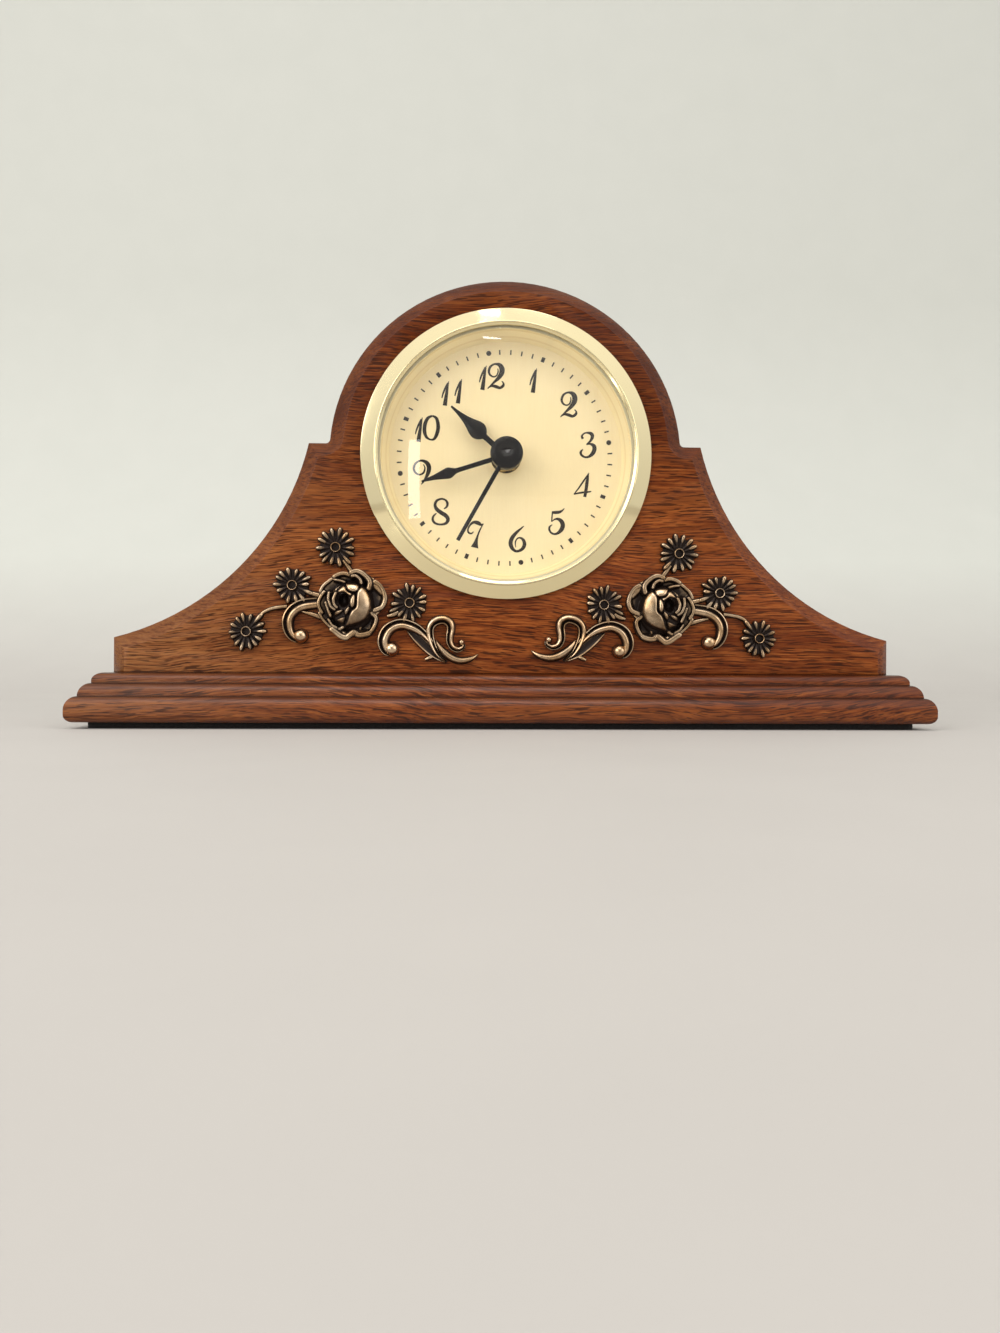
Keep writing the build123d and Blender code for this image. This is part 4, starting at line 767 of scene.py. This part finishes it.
def rose_relief(points):
    """The rose's height, and its wear with a painted highlight, at every point."""
    x, z = points[:, 0], points[:, 1]
    reach = np.hypot(x, z)
    height = 0.7 + 0.9 * (reach / 9.0) ** 2
    wear_and_light = 0.06 + 0.58 * np.clip((reach - 4.0) / 4.5, 0.0, 1.0)

    def lay(level, mark):
        nonlocal height, wear_and_light
        wear_and_light = np.where(level > height, mark, wear_and_light)
        height = np.maximum(level, height)

    inner = points - np.array(HEART_AT)
    dome = np.sqrt(np.clip(1 - ((inner[:, 0] + 0.4) / 6.0) ** 2 - ((inner[:, 1] - 0.2) / 6.8) ** 2, 0.0, 1.0))
    heart = 1.3 + 3.5 * dome
    lay(np.where(dome > 0, heart - 0.9, 0.0), np.full(len(points), 0.10))
    for rise, outline in HEART_FACES:
        depth = depth_inside(inner, outline)
        edge = np.clip(depth / 0.75, 0.0, 1.0)
        level = heart + rise - 0.55 * (1 - edge) ** 2 + np.minimum(depth, 0.0) * 4.0
        # Painted highlight: the heart's petal faces are brighter towards the top.
        bright = 0.80 + 0.18 * np.clip(inner[:, 1] / 4.0, -1.0, 1.0)
        lay(np.where(dome > 0, level, 0.0), np.clip(0.15 + 0.85 * depth / 0.38, 0.0, 1.0) * bright)
    for middle, outline in OPEN_FACES:
        depth = depth_inside(points, outline)
        edge = np.clip(depth / 0.7, 0.0, 1.0)
        level = middle + 0.16 * (reach - 7.5) - 0.4 * (1 - edge) ** 2 + np.minimum(depth, 0.0) * 4.0
        lay(level, np.clip(0.15 + 0.65 * depth / 0.5, 0.0, 0.8))
    for rise, half, line in ROSE_RIMS:
        away = nearest(points, np.array(spline(line, 6)))
        share = np.clip(away / half, 0.0, 1.0)
        level = rise - 0.9 * half * (1 - np.sqrt(1 - share ** 2)) - 4.0 * np.maximum(away - half, 0.0)
        lay(level, np.clip(1.10 - 0.95 * share ** 1.3, 0.0, 1.0))
    eye = (inner - np.array(EYE[:2])) / np.array(EYE[2:])
    hole = np.clip(1 - (eye ** 2).sum(1), 0.0, 1.0)
    wear_and_light = np.where(hole > 0.08, 0.0, wear_and_light)
    return height - 2.6 * np.sqrt(hole), wear_and_light


def rose(shape):
    """An opened rose in relief, from its middle out to its waved edge and down to the wood."""
    edge = np.array(spline(ROSE_EDGE, 8, closed=True))
    angles = np.unwrap(np.arctan2(edge[:, 1], edge[:, 0]))
    around = np.linspace(0.0, 2 * math.pi, ROSE_TURNS, endpoint=False)
    limit = np.interp(around, angles, np.hypot(edge[:, 0], edge[:, 1]), period=2 * math.pi)
    share = np.linspace(0.006, 1.0, ROSE_STEPS)
    reach = limit[:, None] * share[None]
    x, z = reach * np.cos(around)[:, None], reach * np.sin(around)[:, None]
    height, wear_and_light = rose_relief(np.column_stack([x.ravel(), z.ravel()]))
    height, wear_and_light = height.reshape(reach.shape), wear_and_light.reshape(reach.shape)
    x, z = x + ROSE_AT[0], z + ROSE_AT[1]
    rows, marks = [], []
    for across, high, up, worn_and_lit in zip(x.tolist(), height.tolist(), z.tolist(), wear_and_light.tolist()):
        rows.append([*zip(across, high, up), (across[-1], MOUNT_FOOT, up[-1]), (across[0], MOUNT_FOOT, up[0])])
        marks.append([*worn_and_lit, 0.0, 0.0])
    shape.loops(rows, marks, ring=True)


# Daisies: (distance, width, height) shares along a petal, the petals' number, the radius and the first seed
PETAL = ((0.0, 0.45, 0.45), (0.2, 0.6, 0.62), (0.42, 0.78, 0.82), (0.64, 0.95, 0.98), (0.80, 1.0, 1.0),
         (0.92, 0.74, 0.85), (1.0, 0.28, 0.5))
PETAL_COUNT = 14
DAISY_RADIUS = 5.0
DAISY_SEED = 51
SPOT_TURNS = 28


def seed_petal(shape, middle, angle, inner, outer, half, rise, bright):
    """One ridge-like petal of a daisy, rounded at its end."""
    out = Vector((math.cos(angle), math.sin(angle)))
    side = Vector((-out.y, out.x))
    rows, wear_and_light = [], []
    for share, width, high in PETAL:
        spot = middle + out * (inner + (outer - inner) * share)
        row, marks = [], []
        for k in range(9):
            turn = math.pi * k / 8
            edge = spot + side * half * width * math.cos(turn)
            row.append((edge.x, MOUNT_FOOT + 0.25 + rise * high * math.sin(turn) ** 0.8, edge.y))
            marks.append(bright * max(0.0, math.sin(turn)) ** 4.5 * smoothstep(0.1, 0.6, share))
        for sign in (-1, 1):
            edge = spot + side * half * width * sign
            row.append((edge.x, MOUNT_FOOT, edge.y))
            marks.append(0.0)
        rows.append(row)
        wear_and_light.append(marks)
    shape.loops(rows, wear_and_light)


def ring_around(shape, middle, profile):
    """Turn a closed profile of (radius, height, wear and painted light) points around a spot on the wood."""
    rows, wear_and_light = [], []
    for step in range(SPOT_TURNS):
        angle = 2 * math.pi * step / SPOT_TURNS
        rows.append([(middle.x + r * math.cos(angle), h, middle.y + r * math.sin(angle)) for r, h, _ in profile])
        wear_and_light.append([mark for _, _, mark in profile])
    shape.loops(rows, wear_and_light, ring=True)


def daisy(shape, middle, radius, lead, seed):
    """A daisy with ridge petals, a raised ring and a hollow eye; one petal reaches out to its stem."""
    chance = random.Random(seed)
    # Dark backing disc under the petals: patina, and partly a painted shade between the petals.
    ring_around(shape, middle, ((0.05, MOUNT_FOOT, 0.0), (0.86 * radius, MOUNT_FOOT, 0.0),
                                (0.80 * radius, 0.5, 0.05), (0.3 * radius, 0.62, 0.0), (0.05, 0.55, 0.0)))
    for number in range(PETAL_COUNT):
        angle = 2 * math.pi * (number + chance.uniform(-0.16, 0.16)) / PETAL_COUNT
        reach = radius * chance.uniform(0.88, 1.09)
        gap = abs((angle - lead + math.pi) % (2 * math.pi) - math.pi)
        if gap < math.pi / PETAL_COUNT:
            reach *= 1.18
        seed_petal(shape, middle, angle, 0.30 * radius, reach, chance.uniform(0.13, 0.165) * radius,
                   chance.uniform(1.1, 1.4), chance.uniform(0.8, 1.08))
    ring_around(shape, middle, ((0.19 * radius, 0.3, 0.0), (0.19 * radius, 1.35, 0.0), (0.21 * radius, 1.6, 0.6),
                                (0.235 * radius, 1.68, 0.95), (0.26 * radius, 1.58, 0.6),
                                (0.28 * radius, 1.25, 0.0), (0.28 * radius, 0.3, 0.0)))


# Sections across a ribbon: (side, height, wear), the sides from -1 to 1
SCROLL_SECTION = ((-1.0, 0.0, 0.0), (-0.94, 0.50, 0.15), (-0.82, 0.80, 0.85), (-0.68, 0.84, 0.90), (-0.53, 0.62, 0.1),
                  (-0.38, 0.50, 0.0), (-0.20, 0.68, 0.25), (0.05, 0.92, 0.85), (0.32, 1.0, 1.0), (0.60, 0.92, 0.9),
                  (0.82, 0.66, 0.45), (0.95, 0.36, 0.1), (1.0, 0.0, 0.0))
STEM_SECTION = ((-1.0, 0.0, 0.0), (-0.9, 0.60, 0.3), (-0.72, 0.85, 1.0), (-0.52, 0.78, 0.6), (-0.3, 0.56, 0.05),
                (0.3, 0.50, 0.0), (0.62, 0.62, 0.15), (0.82, 0.70, 0.7), (0.95, 0.40, 0.1), (1.0, 0.0, 0.0))
ROD_SECTION = ((-1.0, 0.0, 0.0), (-0.87, 0.55, 0.15), (-0.5, 0.9, 0.7), (0.0, 1.0, 1.0), (0.5, 0.9, 0.7),
               (0.87, 0.55, 0.15), (1.0, 0.0, 0.0))


def sweep(shape, points, section, steps):
    """A moulded ribbon along a curve of (across, up, half width, rise) points."""
    curve = spline(points, steps)
    rows, wear_and_light = [], []
    for k, (x, z, half, rise) in enumerate(curve):
        before, after = curve[max(0, k - 1)], curve[min(len(curve) - 1, k + 1)]
        along = Vector((after[0] - before[0], after[1] - before[1])).normalized()
        rows.append([(x - along.y * half * share, MOUNT_FOOT + rise * lift, z + along.x * half * share)
                     for share, lift, _ in section])
        wear_and_light.append([mark for _, _, mark in section])
    shape.loops(rows, wear_and_light)


def ball(shape, middle, radius, rise):
    """The round end of a scroll."""
    profile = [(0.02, MOUNT_FOOT, 0.0)]
    for step in range(10):
        angle = math.radians(10.0 * step)
        profile.append((radius * math.cos(angle) + 0.001, MOUNT_FOOT + rise * math.sin(angle),
                        smoothstep(0.0, 0.6, math.sin(angle)) * 0.95))
    profile.append((0.02, rise + MOUNT_FOOT, 0.9))
    ring_around(shape, Vector(middle), profile)


# Daisies as (across, up, angle of the stem), ribbons as (across, up, half width, rise) points, and the round ends as
# (across, up, radius, rise)
DAISIES = ((-3.7, 14.7, -54), (-14.85, 4.8, -24), (-26.6, -7.25, 48), (15.5, 0.4, 215))
SCROLLS = (
    ((-8.4, 0.3, 1.6, 1.2), (-11.85, -0.2, 1.7, 1.6), (-13.9, -1.15, 1.7, 1.9), (-15.3, -2.6, 1.65, 2.0),
     (-15.95, -4.3, 1.6, 2.0), (-15.9, -6.0, 1.55, 1.9), (-15.4, -7.6, 1.35, 1.8), (-14.4, -8.9, 1.05, 1.7),
     (-13.2, -9.5, 0.7, 1.5)),
    ((21.9, -11.2, 0.5, 1.2), (20.6, -9.2, 0.85, 1.6), (19.0, -7.5, 1.15, 1.8), (16.8, -6.0, 1.45, 1.9),
     (13.8, -5.1, 1.55, 1.9), (11.4, -5.6, 1.6, 2.0), (9.7, -6.9, 1.7, 2.0), (8.75, -8.9, 1.65, 2.0),
     (8.75, -10.8, 1.45, 1.9), (9.5, -12.3, 1.1, 1.7), (10.6, -12.9, 0.7, 1.5)),
    ((24.9, -14.7, 0.35, 0.8), (22.9, -13.0, 0.7, 1.2), (21.5, -10.5, 0.95, 1.6), (20.8, -7.7, 1.1, 1.8),
     (21.0, -5.6, 1.2, 2.0), (22.4, -4.25, 1.3, 2.1), (24.4, -3.9, 1.3, 2.1), (25.9, -4.75, 1.3, 2.1),
     (26.3, -6.3, 1.2, 2.0), (26.0, -8.2, 1.1, 1.9), (26.0, -9.7, 1.0, 1.8), (26.7, -11.1, 0.9, 1.7),
     (28.1, -11.7, 0.8, 1.5), (29.4, -11.1, 0.6, 1.3), (29.6, -10.2, 0.4, 1.1)),
)
STEMS = (
    ((15.3, -6.6, 0.8, 0.9), (17.4, -8.8, 1.25, 1.2), (19.6, -10.9, 1.35, 1.3), (21.7, -12.8, 1.1, 1.2),
     (23.8, -14.2, 0.7, 1.0), (25.2, -14.9, 0.35, 0.7)),
)
RODS = (
    ((0.4, 8.4, 0.75, 1.2), (-0.6, 9.9, 0.7, 1.1), (-1.7, 11.4, 0.6, 1.0)),
    ((-8.0, 2.2, 0.8, 1.2), (-10.0, 2.8, 0.75, 1.2), (-11.8, 3.6, 0.6, 1.0)),
    ((-16.2, -0.7, 0.65, 1.1), (-18.2, -0.9, 0.6, 1.1), (-20.4, -1.35, 0.6, 1.1), (-22.3, -2.3, 0.55, 1.1),
     (-23.9, -3.7, 0.5, 1.0)),
    ((-7.6, -3.4, 0.8, 1.0), (-10.0, -2.6, 0.65, 1.0), (-12.2, -2.0, 0.4, 0.8)),
    ((12.6, -2.0, 0.7, 1.0), (11.2, -2.7, 0.8, 1.2), (9.7, -3.0, 0.55, 1.0)),
    ((22.4, -9.3, 0.3, 0.9), (23.0, -10.4, 0.6, 1.5), (24.1, -11.9, 0.9, 2.0), (26.3, -13.75, 1.1, 2.2),
     (28.7, -14.55, 1.05, 2.1), (31.4, -14.1, 0.75, 1.6), (33.4, -12.85, 0.15, 0.5)),
    ((21.6, -13.6, 0.35, 0.9), (20.7, -13.85, 0.65, 1.2), (19.6, -14.3, 0.45, 1.0)),
)
BALLS = ((-12.6, -8.3, 2.0, 2.5), (10.9, -11.6, 1.95, 2.4), (29.0, -9.75, 0.9, 1.6))


def bent(x, z):
    """The right casting's ends stand a little higher, its last daisy further in and its tail further out."""
    daisy_end, tail_end = smoothstep(18.0, 25.0, -x), smoothstep(18.0, 32.0, x)
    return x + 0.8 * daisy_end + 0.6 * tail_end, z + 0.6 * daisy_end + 0.5 * tail_end


def make_mount(side):
    """A cast mount: a rose, four daisies and scrolls, in one piece."""
    shape = Shape()
    rose(shape)
    for number, (across, up, lead) in enumerate(DAISIES):
        daisy(shape, Vector((across, up)), DAISY_RADIUS, math.radians(lead), DAISY_SEED + number)
    for ribbons, section, steps in ((SCROLLS, SCROLL_SECTION, 7), (STEMS, STEM_SECTION, 7), (RODS, ROD_SECTION, 5)):
        for points in ribbons:
            sweep(shape, points, section, steps)
    for across, up, radius, rise in BALLS:
        ball(shape, (across, up), radius, rise)
    if side == "left":
        shape.points = [(x, -h, z) for x, h, z in shape.points]
    else:
        shape.points = [(-bent(x, z)[0], -h, bent(x, z)[1]) for x, h, z in shape.points]
    across, up, tilt = MOUNT_PLACES[side]
    place = Matrix.Translation((across, FACE_Y, up)) @ Matrix.Rotation(math.radians(tilt), 4, "Y")
    made = shape.mesh("floral_cast_" + side, place, 48.0)
    settle(made, "case", "mount_brass", BRASS_MOUNT, "floral_mount_" + side)


def make_camera():
    """The camera at the photograph's place."""
    yaw, roll = math.radians(CAMERA_YAW), math.radians(CAMERA_ROLL)
    ahead = Vector((math.sin(yaw), math.cos(yaw), 0.0))
    right = math.cos(roll) * Vector((math.cos(yaw), -math.sin(yaw), 0.0)) + math.sin(roll) * Vector((0, 0, 1))
    up = right.cross(ahead)
    turned = Matrix((right, up, -ahead)).transposed().to_4x4()
    data = bpy.data.cameras.new("camera")
    data.sensor_width = SENSOR
    data.lens = SENSOR * FOCAL_SHARE
    data.clip_start = 0.01
    camera = bpy.data.objects.new("camera", data)
    camera.matrix_world = Matrix.Translation(Vector(CAMERA_AT) * MM) @ turned
    scene.collection.objects.link(camera)
    scene.camera = camera


WARM = (1.0, 0.985, 0.96)
COOL = (0.95, 1.0, 0.97)
WHITE = (1.0, 1.0, 1.0)
MIDDLE = (0.0, -0.02, 0.07)


def area_light(name, place, aim, size, power, colour):
    """A soft rectangular lamp; places and sizes are in metres."""
    data = bpy.data.lights.new(name, "AREA")
    data.shape = "RECTANGLE"
    data.size, data.size_y = size
    data.energy = power
    data.color = colour
    lamp = bpy.data.objects.new(name, data)
    lamp.location = place
    lamp.rotation_euler = (Vector(aim) - Vector(place)).to_track_quat("-Z", "Y").to_euler()
    scene.collection.objects.link(lamp)
    return lamp


def make_floor():
    """A plain pale floor that curves up into a wall."""
    bend, wall, front, half, high = 0.35, 0.60, -4.0, 3.0, 3.0
    profile = [(front, 0.0), (wall - bend, 0.0)]
    for step in range(1, 17):
        angle = math.radians(90.0 * step / 16)
        profile.append((wall - bend + bend * math.sin(angle), bend * (1 - math.cos(angle))))
    profile.append((wall, high))
    points = [(side, y, z) for side in (-half, half) for y, z in profile]
    count = len(profile)
    faces = [(k, k + 1, count + k + 1, count + k) for k in range(count - 1)]
    data = bpy.data.meshes.new("floor")
    data.from_pydata(points, [], faces)
    for polygon in data.polygons:
        polygon.use_smooth = True
    floor = bpy.data.objects.new("floor", data)
    scene.collection.objects.link(floor)
    g = Nodes(bpy.data.materials.new("floor_pale"))
    cloud = g.noise(g.place, 30.0, 4.0)
    shelf = g.mix(cloud, (0.49, 0.465, 0.440), (0.52, 0.494, 0.467))
    plaster = g.mix(cloud, (0.605, 0.615, 0.570), (0.635, 0.642, 0.596))
    rise = g.split(g.place)["Z"]
    g.set(Base_Color=g.mix(g.level(rise, 0.0, 0.10), shelf, plaster), Roughness=0.7)
    data.materials.append(g.owner)


# World: its strength at the horizon and above a height, and the dim part behind the camera with its two edges
SKY_COLOUR = (1.0, 0.985, 0.955)
SKY_LOW, SKY_HIGH, SKY_HEIGHT = 0.74, 1.12, 0.75
DIM_WAY = (0.0, -1.0, 0.14)
DIM_LEVEL, DIM_OUTER, DIM_INNER = 0.42, 30, 19


def make_world():
    """A pale world that grows brighter upwards and is dimmer behind the camera."""
    g = Nodes(bpy.data.worlds.new("world"))
    scene.world = g.owner
    ways = g.coords["Generated"]
    sight = g.vector("DOT_PRODUCT", ways, Vector(DIM_WAY).normalized(), "Value")
    edges = math.cos(math.radians(DIM_OUTER)), math.cos(math.radians(DIM_INNER))
    height = g.level(g.split(ways)["Z"], 0.0, SKY_HEIGHT, SKY_LOW, SKY_HIGH, "SMOOTHSTEP")
    dim = g.level(sight, *edges, 1.0, DIM_LEVEL, "SMOOTHSTEP")
    g.set(Color=SKY_COLOUR, Strength=g.math("MULTIPLY", height, dim))


def make_lamps():
    """Three soft lamps, and three that show in the lens and the bezel as a window and two bright strips."""
    area_light("key", (-0.12, -0.58, 1.20), MIDDLE, (1.0, 0.5), 4.2, WARM)
    area_light("left", (-0.85, -0.62, 0.50), MIDDLE, (0.7, 0.8), 5.4, WARM)
    area_light("right", (0.95, -0.55, 0.45), MIDDLE, (0.7, 0.8), 2.6, WARM)
    window = area_light("window", (-0.214, -0.43, 0.068), MIDDLE, (0.030, 0.26), 0.100, COOL)
    window.visible_diffuse = False
    area_light("strip_high", (-0.034, -0.690, 0.845), (-0.004, -0.020, 0.103), (0.08, 0.008), 0.020, WHITE)
    area_light("strip_low", (-0.034, -0.719, 0.816), (-0.004, -0.020, 0.101), (0.08, 0.008), 0.020, WHITE)


make_camera()
dress_nodes()
make_case()
for hand_name in HANDS:
    make_hand(hand_name)
make_rings()
make_hub_cap()
make_numerals()
make_track()
for mount_side in MOUNT_PLACES:
    make_mount(mount_side)
make_floor()
make_world()
make_lamps()
bpy.context.view_layer.update()
